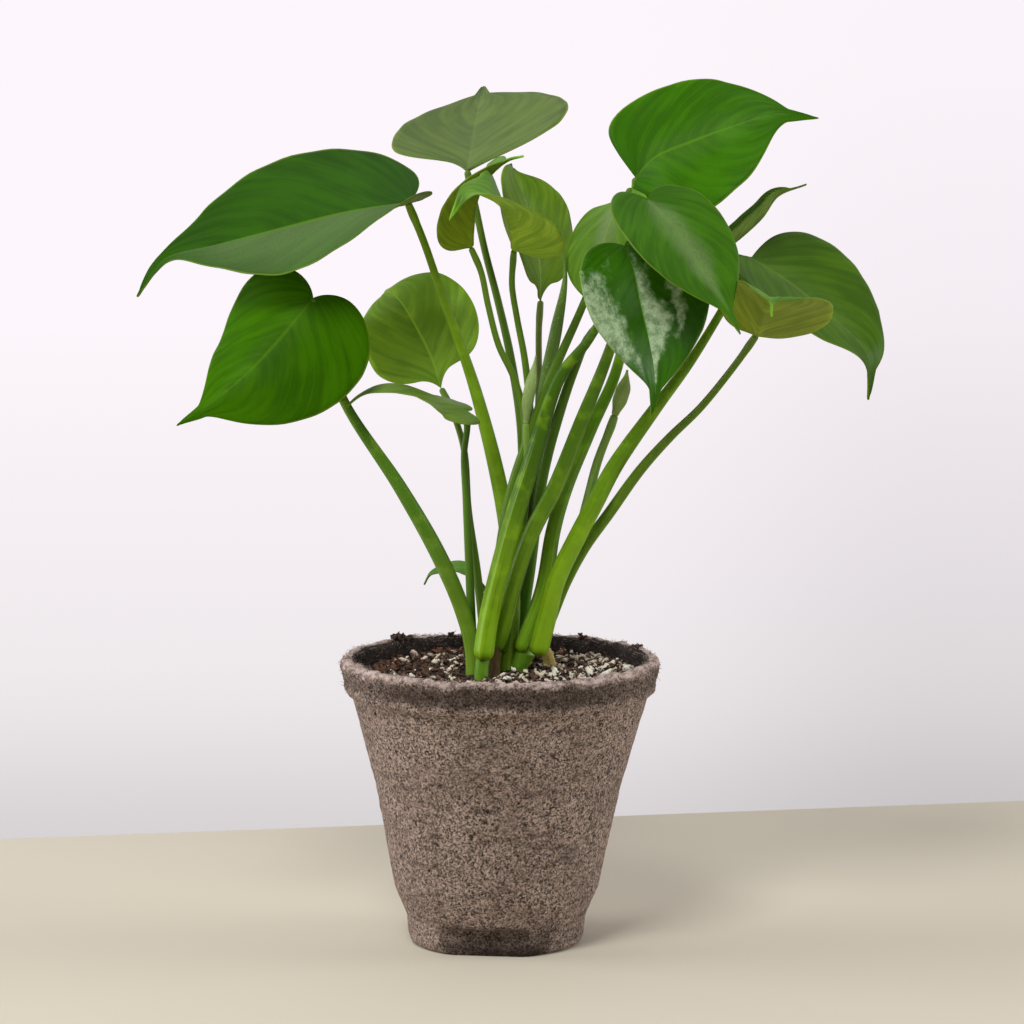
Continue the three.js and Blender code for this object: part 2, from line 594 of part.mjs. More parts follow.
// A rough lump with eight faces, squashed and turned at random.
function lumpGeometry(random, size, flat) {
  const geometry = new THREE.OctahedronGeometry(size, 0);
  geometry.scale(0.7 + 0.6 * random(), 0.7 + 0.6 * random(), flat);
  geometry.rotateX((random() - 0.5) * 1.2);
  geometry.rotateY((random() - 0.5) * 1.2);
  geometry.rotateZ(random() * 2 * Math.PI);
  return geometry;
}

const mixHeight = (x, y) => (
  MIX_HEIGHT + MIX_RISE * (y / NECK_RADIUS) + 0.5 * Math.sin(0.31 * x + 1) * Math.sin(0.37 * y)
);

// The potting mix as a plug that fills the pot, with a rough top. A circle without a height lies on the top.
function mixGeometry() {
  const random = randomFrom(21);
  const [placeX, , placeZ] = PLANT_PLACE;
  const inside = (z) => wallRadius(z) - WALL - MIX_GAP;
  const circle = (radius, height) => Array.from({ length: MIX_SECTORS }, (_, k) => {
    const angle = (2 * Math.PI * k) / MIX_SECTORS;
    const [x, y] = [radius * Math.cos(angle), radius * Math.sin(angle)];
    if (height === undefined) return new THREE.Vector3(x, y, mixHeight(x, y) + 0.9 * (random() - 0.5));
    return new THREE.Vector3(x + leanAt(height) - placeX, y, height - placeZ);
  });
  const low = FLOOR + CLEARANCE;
  const rings = [
    circle(HOLLOW_RADIUS - MIX_GAP, low),
    circle(HOLLOW_RADIUS + 0.6 - MIX_GAP, FOOT_HEIGHT - 2),
    circle(inside(SHOULDER_HEIGHT), SHOULDER_HEIGHT),
    circle(inside(LIP_BOTTOM), LIP_BOTTOM),
  ];
  for (let i = MIX_RINGS; i > 0; i--) rings.push(circle((inside(LIP_BOTTOM) * i) / MIX_RINGS));
  const [first, last] = [[-placeX, 0, low - placeZ], [0, 0, mixHeight(0, 0)]];
  return loftGeometry(rings, new THREE.Vector3(...first), new THREE.Vector3(...last));
}

const plant = new THREE.Group();
function add(name, solid, colour, roughness, place = PLANT_PLACE) {
  const material = new THREE.MeshStandardMaterial({ color: colour, roughness, metalness: 0 });
  const mesh = new THREE.Mesh(geometryOf(solid.translate(place)), material);
  mesh.name = name;
  plant.add(mesh);
}

// Blades first, then the stems, each cut clear of what was placed before it.
const placed = BLADES.map((blade) => solidOf(bladeGeometry(blade, CLEARANCE)));
const boxesMeet = (a, b) => [0, 1, 2].every((k) => a.min[k] < b.max[k] && b.min[k] < a.max[k]);
function cutClear(solid) {
  const box = solid.boundingBox();
  const near = placed.filter((other) => boxesMeet(box, other.boundingBox()));
  return near.length ? largestBody(solid.subtract(wasm.Manifold.union(near))) : solid;
}

for (const blade of BLADES) add(blade.name, solidOf(bladeGeometry(blade)), COLOURS.leaf, 0.4);
const rooted = [];
for (const rolled of ROLLED) {
  add(rolled.name, cutClear(solidOf(rolledGeometry(rolled))), COLOURS.youngLeaf, 0.45);
  placed.push(solidOf(rolledGeometry(rolled, CLEARANCE)));
}
for (const [list, colour] of [[CROWNS, COLOURS.crown], [STALKS, COLOURS.stalk]]) {
  for (const stem of list) {
    add(stem.name, cutClear(solidOf(stalkGeometry(stem))), colour, 0.5);
    const wider = solidOf(stalkGeometry(stem, CLEARANCE));
    placed.push(wider);
    if (stem.route[0][2] < MIX_HEIGHT) rooted.push(wider);
  }
}

const random = randomFrom(5);
const lumps = [];
for (let i = 0; i < PERLITE_COUNT + BARK_COUNT; i++) {
  const isBark = i >= PERLITE_COUNT;
  const angle = 2 * Math.PI * random();
  const radius = LUMPS_FROM + LUMPS_REACH * Math.sqrt(random());
  const [x, y] = [radius * Math.cos(angle), radius * Math.sin(angle)];
  const size = isBark ? 2.2 + 1.8 * random() : 1.2 + 1.1 * random();
  const lump = lumpGeometry(random, size, isBark ? 0.5 : 0.8);
  lump.translate(x, y, mixHeight(x, y) + 0.2);
  lumps.push(solidOf(lump));
}
const chip = new THREE.BoxGeometry(...CHIP_SIZE);
chip.rotateY(-CHIP_LEAN * DEGREE);
chip.translate(...CHIP_PLACE);
lumps.push(solidOf(chip));
const plug = wasm.Manifold.union([solidOf(mixGeometry()), ...lumps]);
add("potting_mix", largestBody(plug.subtract(wasm.Manifold.union(rooted))), COLOURS.mix, 0.95);

const crumbs = CRUMBS.map(([x, y, size]) => {
  const crumb = lumpGeometry(random, 1.2 * size, 0.7);
  crumb.translate(x + PLANT_PLACE[0], y, POT_HEIGHT - 0.3);
  return solidOf(crumb);
});
const potSolid = wasm.Manifold.union([solidOf(potGeometry()), ...crumbs]);
add("pot", largestBody(potSolid), COLOURS.pot, 0.95, [0, 0, 0]);

export default plant;
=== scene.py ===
import math

import bmesh
import bpy
import numpy as np
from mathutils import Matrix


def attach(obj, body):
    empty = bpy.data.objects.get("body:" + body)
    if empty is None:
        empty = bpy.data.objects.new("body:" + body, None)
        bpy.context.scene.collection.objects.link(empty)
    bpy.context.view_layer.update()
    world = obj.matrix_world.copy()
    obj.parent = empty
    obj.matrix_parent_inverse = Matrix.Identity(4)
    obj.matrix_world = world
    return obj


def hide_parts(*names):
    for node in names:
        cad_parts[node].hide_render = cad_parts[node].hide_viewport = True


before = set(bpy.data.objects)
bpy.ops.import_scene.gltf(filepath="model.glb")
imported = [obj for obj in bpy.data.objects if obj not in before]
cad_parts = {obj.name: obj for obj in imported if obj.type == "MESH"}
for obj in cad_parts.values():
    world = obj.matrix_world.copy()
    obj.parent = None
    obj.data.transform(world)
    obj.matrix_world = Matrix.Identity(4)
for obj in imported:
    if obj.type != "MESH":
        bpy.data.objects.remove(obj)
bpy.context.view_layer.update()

# The pot: a thin shell pressed from peat and wood fibre. Its lip is rolled, its narrow foot is pressed flat
# at the front and the back, and loose fibres stand up from it. Lengths are in millimetres up to the mesh.
POT_HEIGHT = 99.6
POT_LEAN = 1.4  # how far the lip stands to the right of the foot
POT_PANEL_TURN = -97  # degrees from +X round to the middle of the front panel
LIP_START = 86  # height
LIP_TOP_START = 95
PROFILE_STEP = 0.2
PROFILE_KEPT = 5  # one point in so many of the rounded profile
POT_SECTORS = 264
POT_OUTSIDE = [  # radius, height and how far out a flat panel may lie
    (0, 0, 25.6), (28.4, 0, 25.6), (30, 1.4, 26.4), (30.7, 5, 26.6), (31, 9.4, 26.8), (31.5, 10.8, 32),
    (35.4, 20, 99), (42.3, 55, 99), (51, 86.6, 99), (53.2, 88.1, 99), (53.6, 90, 99), (53.3, 92, 99),
    (54.4, 94.4, 99), (55, 97.2, 99), (54.1, 99.1, 99), (52.6, 99.6, 99), (50.6, 99.1, 99), (49.6, 96.5, 99),
    (48.4, 94.5, 99), (48, 87, 99),
]
POT_INSIDE = [(32.4, 20, 99), (24.5, 10, 99), (23.5, 3, 99), (0, 3, 99)]
FIBRE = (112, 94, 84)
FIBRE_PALE = (206, 182, 168)
FIBRE_DARK = (36, 26, 22)
FUZZ_COUNT = 4200
FUZZ_START = 87.5  # height
FUZZ_FADE = 85  # height at which the fuzz, which thins out downwards, would reach nothing


def smoothstep(t):
    """3t² - 2t³, with t held between 0 and 1."""
    t = np.clip(t, 0, 1)
    return t * t * (3 - 2 * t)


def noise(points, size, seed):
    """Smooth random number from -1 to 1 at each point. Each corner of a lattice of cells has a number of its
    own, and a point takes the mean of its cell's eight corners, weighted by smoothstep."""
    place = np.asarray(points, float) / size
    cell = np.floor(place).astype(np.int64)
    share = smoothstep(place - cell)
    total = np.zeros(place.shape[:-1])
    for corner in np.ndindex(2, 2, 2):
        x, y, z = np.moveaxis(cell + corner, -1, 0)
        mixed = (x * 73856093) ^ (y * 19349663) ^ (z * 83492791) ^ (seed * 2654435)
        mixed = ((mixed ^ (mixed >> 13)) * 1274126177) & 0x7FFFFFFF
        value = ((mixed >> 7) & 0xFFFF) / 32767.5 - 1
        total += value * np.prod(np.where(corner, share, 1 - share), axis=-1)
    return total


def grid_faces(rows, columns, first=0):
    """The corner numbers of each cell of a grid of points whose first point has the number first."""
    i, j = np.meshgrid(np.arange(rows - 1), np.arange(columns - 1), indexing="ij")
    a = (first + i * columns + j).reshape(-1)
    return np.stack([a, a + 1, a + columns + 1, a + columns], -1)


def add_piece(name, grids, node, materials):
    """One closed smooth mesh. grids has a (points, uv, material number) for each grid of points that it is
    made of. Points that lie in one place are merged, which closes seams and poles."""
    points, faces, uvs, kinds, first = [], [], [], [], 0
    for grid, uv, kind in grids:
        rows, columns = grid.shape[:2]
        cells = grid_faces(rows, columns, first)
        points.append(grid.reshape(-1, 3))
        uvs.append(np.broadcast_to(uv, (rows, columns, 2)).reshape(-1, 2))
        faces.append(cells)
        kinds.append(np.full(len(cells), kind, np.int32))
        first += rows * columns
    finish_piece(name, np.concatenate(points), np.concatenate(faces), np.concatenate(uvs),
                 np.concatenate(kinds), node, materials)


def add_loose(name, points, faces, tones, node, material):
    """One mesh of many small closed bits of one material. tones has the UV place of each point, or of all."""
    tones = np.broadcast_to(tones, (len(points), 2))
    finish_piece(name, points, faces, tones, np.zeros(len(faces)), node, [material], merge=False)


def finish_piece(name, points, faces, uvs, kinds, node, materials, merge=True):
    """The mesh of points in millimetres with its UV map called place, as a piece that stands for a node."""
    mesh = bpy.data.meshes.new(name)
    mesh.from_pydata(np.asarray(points, float) / 1000, [], faces)
    corners = np.zeros(len(mesh.loops), np.int32)
    mesh.loops.foreach_get("vertex_index", corners)
    mesh.uv_layers.new(name="place").data.foreach_set("uv", np.asarray(uvs, np.float32)[corners].reshape(-1))
    mesh.polygons.foreach_set("material_index", np.asarray(kinds, np.int32))
    if merge:
        shell = bmesh.new()
        shell.from_mesh(mesh)
        bmesh.ops.remove_doubles(shell, verts=shell.verts, dist=1e-6)
        bmesh.ops.recalc_face_normals(shell, faces=shell.faces)
        shell.to_mesh(mesh)
        shell.free()
    mesh.shade_smooth()
    for material in materials:
        mesh.materials.append(material)
    piece = bpy.data.objects.new(name, mesh)
    bpy.context.collection.objects.link(piece)
    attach(piece, "root")
    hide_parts(node)


def colour(red, green, blue):
    """A colour as seen on a screen, from 0 to 255, as the light that it stands for."""
    seen = np.array([red, green, blue]) / 255
    light = np.where(seen <= 0.04045, seen / 12.92, ((seen + 0.055) / 1.055) ** 2.4)
    return (*(float(v) for v in light), 1.0)


class Field:
    """What an output of a shader node gives at each point of a surface. Sums with fields and plain numbers
    are Math nodes, so that they can be written as ordinary sums."""

    def __init__(self, tree, socket):
        self.tree = tree
        self.socket = socket

    def __add__(self, other):
        return sums("ADD", self, other)

    def __sub__(self, other):
        return sums("SUBTRACT", self, other)

    def __rsub__(self, other):
        return sums("SUBTRACT", other, self)

    def __mul__(self, other):
        return sums("MULTIPLY", self, other)

    def __pow__(self, power):
        return sums("POWER", self, power)

    def __abs__(self):
        return sums("ABSOLUTE", self)

    def into(self, socket):
        """Joins this output to an input."""
        self.tree.links.new(self.socket, socket)


def shader(tree, kind, inputs=None, output=0, **settings):
    """An output of a new shader node, with its named or numbered inputs set to values or joined to fields."""
    node = tree.nodes.new("ShaderNode" + kind)
    for setting, value in settings.items():
        setattr(node, setting, value)
    for socket, value in (inputs or {}).items():
        if isinstance(value, Field):
            value.into(node.inputs[socket])
        else:
            node.inputs[socket].default_value = value
    return Field(tree, node.outputs[output])


def sums(operation, *values):
    """One Math node, in the tree of the first of its values that is a field."""
    tree = next(value.tree for value in values if isinstance(value, Field))
    return shader(tree, "Math", dict(enumerate(values)), operation=operation)


def split(vector):
    """The three numbers of a vector."""
    first = shader(vector.tree, "SeparateXYZ", {0: vector})
    return [Field(vector.tree, socket) for socket in first.socket.node.outputs]


def tint(share, low, high):
    """The colour low where share is 0 and the colour high where it is 1."""
    return shader(share.tree, "Mix", {0: share, 6: low, 7: high}, 2, data_type="RGBA")


def ramp(value, low, high, start=0.0, end=1.0, course="LINEAR"):
    """value carried from the range low to high over to the range start to end, and held at both ends."""
    return shader(value.tree, "MapRange", {0: value, 1: low, 2: high, 3: start, 4: end},
                  interpolation_type=course)


def spread(value, low, high, start=0.0, end=1.0):
    """A ramp that is eased at both ends."""
    return ramp(value, low, high, start, end, "SMOOTHSTEP")


def grain(place, size, detail=4.0, roughness=0.55, twist=0.0):
    """Noise from 0 to 1 with lumps of up to about size in millimetres. twist draws them into threads."""
    return shader(place.tree, "TexNoise", {"Vector": place, "Scale": 1000 / size, "Detail": detail,
                                           "Roughness": roughness, "Distortion": twist})


def new_material(name, rough, **sockets):
    """A material with its Principled shader, which has a plain roughness and the other plain values given."""
    material = bpy.data.materials.new(name)
    material.use_nodes = True
    bsdf = material.node_tree.nodes["Principled BSDF"]
    bsdf.inputs["Roughness"].default_value = rough
    for socket, value in sockets.items():
        bsdf.inputs[socket.replace("_", " ")].default_value = value
    return material, material.node_tree, bsdf


def emboss(bsdf, height, depth):
    """Lifts the surface by height times depth in millimetres."""
    bump = shader(height.tree, "Bump", {"Height": height, "Distance": depth / 1000, "Strength": 1.0})
    bump.into(bsdf.inputs["Normal"])


def fibre_material():
    """Grey-brown pulp felted from pale and dark threads, with dark specks and faint level marks of the mould.
    The top of the lip is paler. The band below it, the foot's panels and the inside are darker, as painted
    shade. The UV map's second number is 0 outside and 1 inside. Heights and depths are in metres here."""
    material, tree, bsdf = new_material("pressed_fibre", 0.95, Specular_IOR_Level=0.2)
    place = shader(tree, "TexCoord", output="Object")
    _, depth, height = split(place)
    inside = split(shader(tree, "UVMap", uv_map="place"))[1]
    strands = grain(place, 1.3, 3, 0.75, 1.4)
    fine = grain(place, 0.7, 2, 0.8, 0.8)
    patches = grain(place, 16, 3)
    level = shader(tree, "Mapping", {"Vector": place, "Scale": (0.12, 0.12, 1.0)})
    marks = spread(grain(level, 2.6, 2), 0.46, 0.36) * spread(patches, 0.48, 0.62)
    cells = shader(tree, "TexVoronoi", {"Vector": place, "Scale": 260.0, "Randomness": 1.0}, "Distance")
    specks = spread(cells, 0.22, 0.12) * spread(strands, 0.56, 0.44)
    felt = strands * 0.55 + fine * 0.45
    base = tint(spread(felt, 0.41, 0.62), colour(*FIBRE_DARK), colour(*FIBRE_PALE))
    base = tint(spread(patches, 0.35, 0.7, 0.05, 0.3), base, colour(*FIBRE))
    base = tint(marks * 0.4, base, colour(*FIBRE_DARK))
    base = tint(specks * 0.85, base, colour(26, 18, 15))
    wavy = height + (grain(place, 7, 4, 0.6) - 0.5) * 0.006
    lip_top = spread(wavy, 0.0974, 0.0992) * spread(grain(place, 2.4, 3), 0.4, 0.6, 0.2, 0.85)
    base = tint(lip_top, base, colour(214, 192, 184))
    # Painted shade on the recessed face of the lip under its paler top, stronger at the front.
    front = spread(depth, -0.025, -0.05)
    under_lip_shade = spread(wavy, 0.0886, 0.0912) * spread(wavy, 0.0984, 0.096) * (front * 0.3 + 0.4)
    base = tint(under_lip_shade, base, colour(36, 27, 23))
    # Painted shade on the foot's flat panels, under their top ledge and near the floor.
    panel_shade = spread(wavy, 0.0135, 0.0078, 0.0, 0.55) + spread(wavy, 0.007, 0.001, 0.0, 0.35)
    base = tint(panel_shade * spread(abs(depth), 0.0215, 0.0262), base, colour(30, 21, 18))
    # Painted shade inside the pot; below about 93 mm the inside is tinted halfway back to a paler grey-brown.
    base = tint(spread(inside, 0.3, 0.9, 0.0, 0.9), base, colour(20, 15, 14))
    ledge = spread(wavy, 0.0945, 0.0925) * inside
    base = tint(ledge * 0.5, base, colour(128, 112, 110))
    base.into(bsdf.inputs["Base Color"])
    emboss(bsdf, felt - (specks + marks) * 0.3, 0.7)
    return material


pressed_fibre = fibre_material()


def walk(corners, step):
    """Points at even steps along a line of corners."""
    corners = np.array(corners, float)
    reach = np.concatenate([[0], np.cumsum(np.linalg.norm(np.diff(corners[:, :2], axis=0), axis=1))])
    at = np.linspace(0, reach[-1], int(reach[-1] / step) + 1)
    return np.stack([np.interp(at, reach, corners[:, k]) for k in range(3)], -1)


def pot_shell():
    """The profile is walked in steps and its corners are rounded by a running mean. It is carried round the
    axis, cut back to the flat panels, and moved along its normal by lumps that are larger on the lip and
    largest on its top. The lumps stay off the inside below the lip, where the mix lies against it."""
    outer = walk(POT_OUTSIDE, PROFILE_STEP)
    padded = np.concatenate([np.repeat(outer[:1], 4, 0), outer, np.repeat(outer[-1:], 4, 0)])
    outer = np.stack([np.convolve(padded[:, k], np.ones(9) / 9, "valid") for k in range(3)], -1)
    outer[0, 0] = 0
    outer = outer[::PROFILE_KEPT]
    rows = np.concatenate([outer, np.array(POT_INSIDE, float)])
    slope = np.gradient(rows[:, :2], axis=0)
    slope /= np.linalg.norm(slope, axis=1, keepdims=True)
    angle = np.linspace(0, 2 * np.pi, POT_SECTORS + 1)
    from_panel = np.abs((angle + np.pi / 2) % np.pi - np.pi / 2)
    radius = np.minimum(rows[:, :1], rows[:, 2:] / np.cos(np.minimum(from_panel, 1.4)))
    turn = angle + math.radians(POT_PANEL_TURN)
    height = np.repeat(rows[:, 1:2], POT_SECTORS + 1, 1)
    place = np.stack([radius * np.cos(turn), radius * np.sin(turn), height], -1)
    on_lip = smoothstep((height - LIP_START) / 3)
    on_top = smoothstep((height - LIP_TOP_START) / 3)
    row = np.arange(len(rows))
    used = (place[..., 2] > LIP_START - 2) | (row < len(outer) - 8)[:, None]
    lumps = (0.14 + 0.26 * on_lip) * noise(place, 3.4, 1) + (0.08 + 0.2 * on_lip) * noise(place, 1.4, 2)
    lumps += 0.1 * (1 - on_lip) * noise(place * [0.12, 0.12, 1], 1.3, 3) + 0.35 * on_lip * noise(place, 9, 4)
    lumps += on_top * (0.5 * noise(place, 2.6, 5) + 0.26 * noise(place, 1.2, 6))
    lumps *= used & (rows[:, :1] > 1)
    place[..., :2] += (lumps * slope[:, 1:2] / np.maximum(radius, 1))[..., None] * place[..., :2]
    place[..., 2] -= lumps * slope[:, :1] * (height > 5)
    place[..., 0] += POT_LEAN * smoothstep(height / POT_HEIGHT)
    place[:, -1] = place[:, 0]
    inside = np.where(row < len(outer) - 14, 0.0, 1.0)[:, None] * np.ones(POT_SECTORS + 1)
    return place, np.stack([np.broadcast_to(angle, inside.shape), inside], -1)


shell, shell_uv = pot_shell()
add_piece("fibre_pot", [(shell, shell_uv, 0)], "pot", [pressed_fibre])


def threads(starts, ways, bends, lengths, radii, steps):
    """Thin three-sided tapering threads. Each runs from its start along its way, and drifts off along its
    bend by the square of how far along it is."""
    t = np.linspace(0, 1, steps)[None, :, None]
    spine = starts[:, None] + ways[:, None] * lengths[:, None, None] * t
    spine = spine + bends[:, None] * lengths[:, None, None] * t * t
    side = np.cross(ways, bends + [0.01, 0.02, 0.03])
    side /= np.linalg.norm(side, axis=1, keepdims=True)
    rise = np.cross(ways, side)
    turn = np.arange(3) * 2 * np.pi / 3
    ring = side[:, None] * np.cos(turn)[:, None] + rise[:, None] * np.sin(turn)[:, None]
    thick = radii[:, None, None, None] * (1 - 0.6 * t[..., None])
    points = (spine[:, :, None] + ring[:, None] * thick).reshape(-1, 3)
    around = np.array([[i * 3 + k, i * 3 + (k + 1) % 3, i * 3 + 3 + (k + 1) % 3, i * 3 + 3 + k]
                       for i in range(steps - 1) for k in range(3)])
    end = (steps - 1) * 3
    caps = np.array([[2, 1, 0, 0], [end, end + 1, end + 2, end + 2]])
    first = np.arange(len(starts))[:, None, None] * steps * 3
    faces = [tuple(f) for f in (around + first).reshape(-1, 4).tolist()]
    faces += [tuple(dict.fromkeys(f)) for f in (caps + first).reshape(-1, 4).tolist()]
    return points, faces


def lip_fuzz():
    """Short threads that start on the lip, most of them on its top, and lie along it with a free end."""
    random = np.random.default_rng(3)
    heights = shell[:, 0, 2]
    on_lip = np.flatnonzero((heights > FUZZ_START) & (np.arange(len(heights)) < len(heights) - 6))
    weight = (heights[on_lip] - FUZZ_FADE) ** 2
    row = random.choice(on_lip, FUZZ_COUNT, p=weight / np.sum(weight))
    column = random.integers(0, POT_SECTORS, FUZZ_COUNT)
    starts = shell[row, column]
    along = shell[row, (column + 1) % POT_SECTORS] - starts
    up = shell[row + 1, column] - starts
    out = np.cross(along, up)
    along, up, out = (v / np.linalg.norm(v, axis=1, keepdims=True) for v in (along, up, out))
    ways = along * random.choice([-1, 1], FUZZ_COUNT)[:, None]
    ways = ways + up * random.normal(0, 0.6, FUZZ_COUNT)[:, None]
    ways += out * random.uniform(0.15, 1.0, FUZZ_COUNT)[:, None]
    ways /= np.linalg.norm(ways, axis=1, keepdims=True)
    bends = random.normal(0, 0.3, (FUZZ_COUNT, 3))
    lengths = random.uniform(0.5, 1.5, FUZZ_COUNT)
    return threads(starts - 0.1 * out, ways, bends, lengths, random.uniform(0.07, 0.15, FUZZ_COUNT), 3)


fuzz_points, fuzz_faces = lip_fuzz()
add_loose("fibre_fuzz", fuzz_points, fuzz_faces, [0.0, 0.0], "pot", pressed_fibre)

# The potting mix: bark, coir and perlite, moist and loose. It fills the pot to just under the lip, a little
# higher at the back. A straw-coloured chip stands on end in front, and crumbs of the mix stick to the lip.
PLANT = np.array([1.4, 0, 0.8])  # where the plant stands in the pot
STEM_FEET = [
    (-6.5, -5), (-2.4, 0), (5.5, 9), (3.2, 21), (-9.6, 2), (2.7, 9.5), (-2.6, 7), (-9.6, 8.5), (-5.8, 12),
]
MIX_RADIUS = 47.3
SCATTER_RADIUS = 46.8
SCATTER_WIDTH = 94
ROOT_COUNT = 160
CHIP_PLACE = [17.0, 14, 95.0]
CHIP_LEAN = math.radians(18)
CRUMB_PLACES = [(-36, 36, 2.6), (-32, 39, 1.6), (-17.5, 47.5, 1.2), (29, 42, 1.4), (48, 20, 1.5)]
CRUMBS_EACH = 14


def mix_height(x, y):
    """A plane that rises to the back, with low waves."""
    return 91.8 + 1.9 * y / 51 + 0.5 * np.sin(0.31 * x + 1) * np.sin(0.37 * y)


def mix_top():
    """A disc of rings that follows mix_height with lumps of three sizes, closed underneath by a point."""
    rings = np.concatenate([np.linspace(0, MIX_RADIUS, 64), [MIX_RADIUS, 40, 0]])
    angle = np.linspace(0, 2 * np.pi, 241)
    x, y = rings[:, None] * np.cos(angle), rings[:, None] * np.sin(angle)
    flat = np.stack([x, y, np.zeros_like(x)], -1)
    rough = 0.9 * noise(flat, 5.5, 11) + 0.6 * noise(flat, 2.4, 12) + 0.35 * noise(flat, 1.1, 13)
    height = mix_height(x, y) - 0.4 + rough
    height[-3:] = np.array([84, 60, 60])[:, None]
    height[0] = height[0, 0]
    grid = np.stack([x, y, height], -1) + PLANT
    grid[:, -1] = grid[:, 0]
    return grid


def rough_lumps(places, sizes, random, rows=5, columns=8):
    """Lumps with a few dozen faces: balls squashed to their sizes, dented at random and turned at random."""
    tilt = np.linspace(0, np.pi, rows)[:, None]
    angle = (np.arange(columns) * 2 * np.pi / columns)[None]
    ball = np.stack([np.sin(tilt) * np.cos(angle), np.sin(tilt) * np.sin(angle),
                     np.cos(tilt) * np.ones_like(angle)], -1)[1:-1].reshape(-1, 3)
    ball = np.concatenate([[[0, 0, 1]], ball, [[0, 0, -1]]])
    count = len(places)
    dents = 1 + 0.34 * random.uniform(-1, 1, (count, len(ball), 1))
    body = ball[None] * dents * sizes[:, None]
    spin = random.uniform(0, 2 * np.pi, count)
    lean = random.normal(0, 0.45, (count, 2))
    cosine, sine = np.cos(spin)[:, None], np.sin(spin)[:, None]
    x, y, z = body[..., 0], body[..., 1], body[..., 2]
    x, y = x * cosine - y * sine, x * sine + y * cosine
    z = z + x * np.sin(lean[:, :1]) + y * np.sin(lean[:, 1:])
    points = (np.stack([x, y, z], -1) + places[:, None]).reshape(-1, 3)
    last = len(ball) - 1
    faces = [(0, 1 + k, 1 + (k + 1) % columns) for k in range(columns)]
    for i in range(rows - 3):
        faces += [(1 + i * columns + k, 1 + (i + 1) * columns + k, 1 + (i + 1) * columns + (k + 1) % columns,
                   1 + i * columns + (k + 1) % columns) for k in range(columns)]
    under = 1 + (rows - 3) * columns
    faces += [(last, under + (k + 1) % columns, under + k) for k in range(columns)]
    every = [tuple(c + n * len(ball) for c in face) for n in range(count) for face in faces]
    tone = np.repeat(random.uniform(0, 1, count), len(ball))
    return points, every, np.stack([tone, np.zeros_like(tone)], -1)


def scatter(count, random, clear, lean=0.0, inner=0.0):
    """Places on the mix, spread evenly over its disc, or over the ring outside the share inner of its radius,
    and off the stems' feet. lean draws them to the right, or to the left where it is below zero."""
    spots = np.zeros((0, 2))
    while len(spots) < count:
        radius = SCATTER_RADIUS * np.sqrt(random.uniform(inner ** 2, 1, count))
        angle = random.uniform(0, 2 * np.pi, count)
        more = np.stack([radius * np.cos(angle), radius * np.sin(angle)], -1)
        gap = np.min(np.linalg.norm(more[:, None] - np.array(STEM_FEET)[None], axis=-1), axis=1)
        wanted = 1 - abs(lean) * (0.5 - np.sign(lean) * more[:, 0] / SCATTER_WIDTH)
        kept = (gap > clear) & (random.uniform(0, 1, count) < wanted)
        spots = np.concatenate([spots, more[kept]])
    spots = spots[:count]
    return np.column_stack([spots, mix_height(spots[:, 0], spots[:, 1])]) + PLANT


def new_group(name, colours, numbers):
    """A shader node group with the fields of its inputs, which are colours and numbers, and the sockets of
    its two outputs, which are Colour and Height."""
    group = bpy.data.node_groups.new(name, "ShaderNodeTree")
    sockets = [(label, "INPUT", "Color") for label in colours]
    sockets += [(label, "INPUT", "Float") for label in numbers]
    sockets += [("Colour", "OUTPUT", "Color"), ("Height", "OUTPUT", "Float")]
    for label, side, kind in sockets:
        group.interface.new_socket(label, in_out=side, socket_type="NodeSocket" + kind)
    start = group.nodes.new("NodeGroupInput")
    given = {label: Field(group, start.outputs[label]) for label in (*colours, *numbers)}
    return group, given, group.nodes.new("NodeGroupOutput").inputs


def group_material(name, group, values, rough, depth, **sockets):
    """A material whose colour and relief come from a group with this material's own values."""
    material, tree, bsdf = new_material(name, rough, **sockets)
    effect = tree.nodes.new("ShaderNodeGroup")
    effect.node_tree = group
    for label, value in values.items():
        effect.inputs[label].default_value = colour(*value) if isinstance(value, tuple) else value
    Field(tree, effect.outputs["Colour"]).into(bsdf.inputs["Base Color"])
    emboss(bsdf, Field(tree, effect.outputs["Height"]), depth)
    return material


def crumb_skin():
    """Group for every kind of lump. The UV map's first number sets each lump between its dark and pale
    colour, and noise at the given scale speckles it."""
    group, given, result = new_group("crumb_skin", ("Dark", "Pale"), ("Scale",))
    place = shader(group, "TexCoord", output="Object")
    tone = split(shader(group, "UVMap", uv_map="place"))[0]
    speckle = shader(group, "TexNoise", {"Vector": place, "Scale": given["Scale"], "Detail": 5.0,
                                         "Roughness": 0.7})
    share = tone * 0.7 + spread(speckle, 0.35, 0.65, -0.15, 0.45)
    share = sums("MINIMUM", sums("MAXIMUM", share, 0.0), 1.0)
    tint(share, given["Dark"], given["Pale"]).into(result["Colour"])
    speckle.into(result["Height"])
    return group


crumb_group = crumb_skin()


def crumb_material(name, dark, pale, rough, size):
    """The finish of one kind of lump, with speckles of about size in millimetres."""
    values = {"Dark": dark, "Pale": pale, "Scale": 1000 / size}
    return group_material(name, crumb_group, values, rough, 0.35)


moist_mix = crumb_material("moist_mix", (22, 14, 11), (70, 50, 39), 0.95, 1.2)
bark = crumb_material("bark", (26, 18, 14), (116, 84, 64), 0.85, 1.0)
husk = crumb_material("husk", (38, 20, 11), (138, 80, 42), 0.8, 1.0)
perlite = crumb_material("perlite", (206, 182, 152), (255, 251, 236), 0.9, 0.6)
straw = crumb_material("straw", (206, 172, 84), (238, 214, 136), 0.75, 0.8)

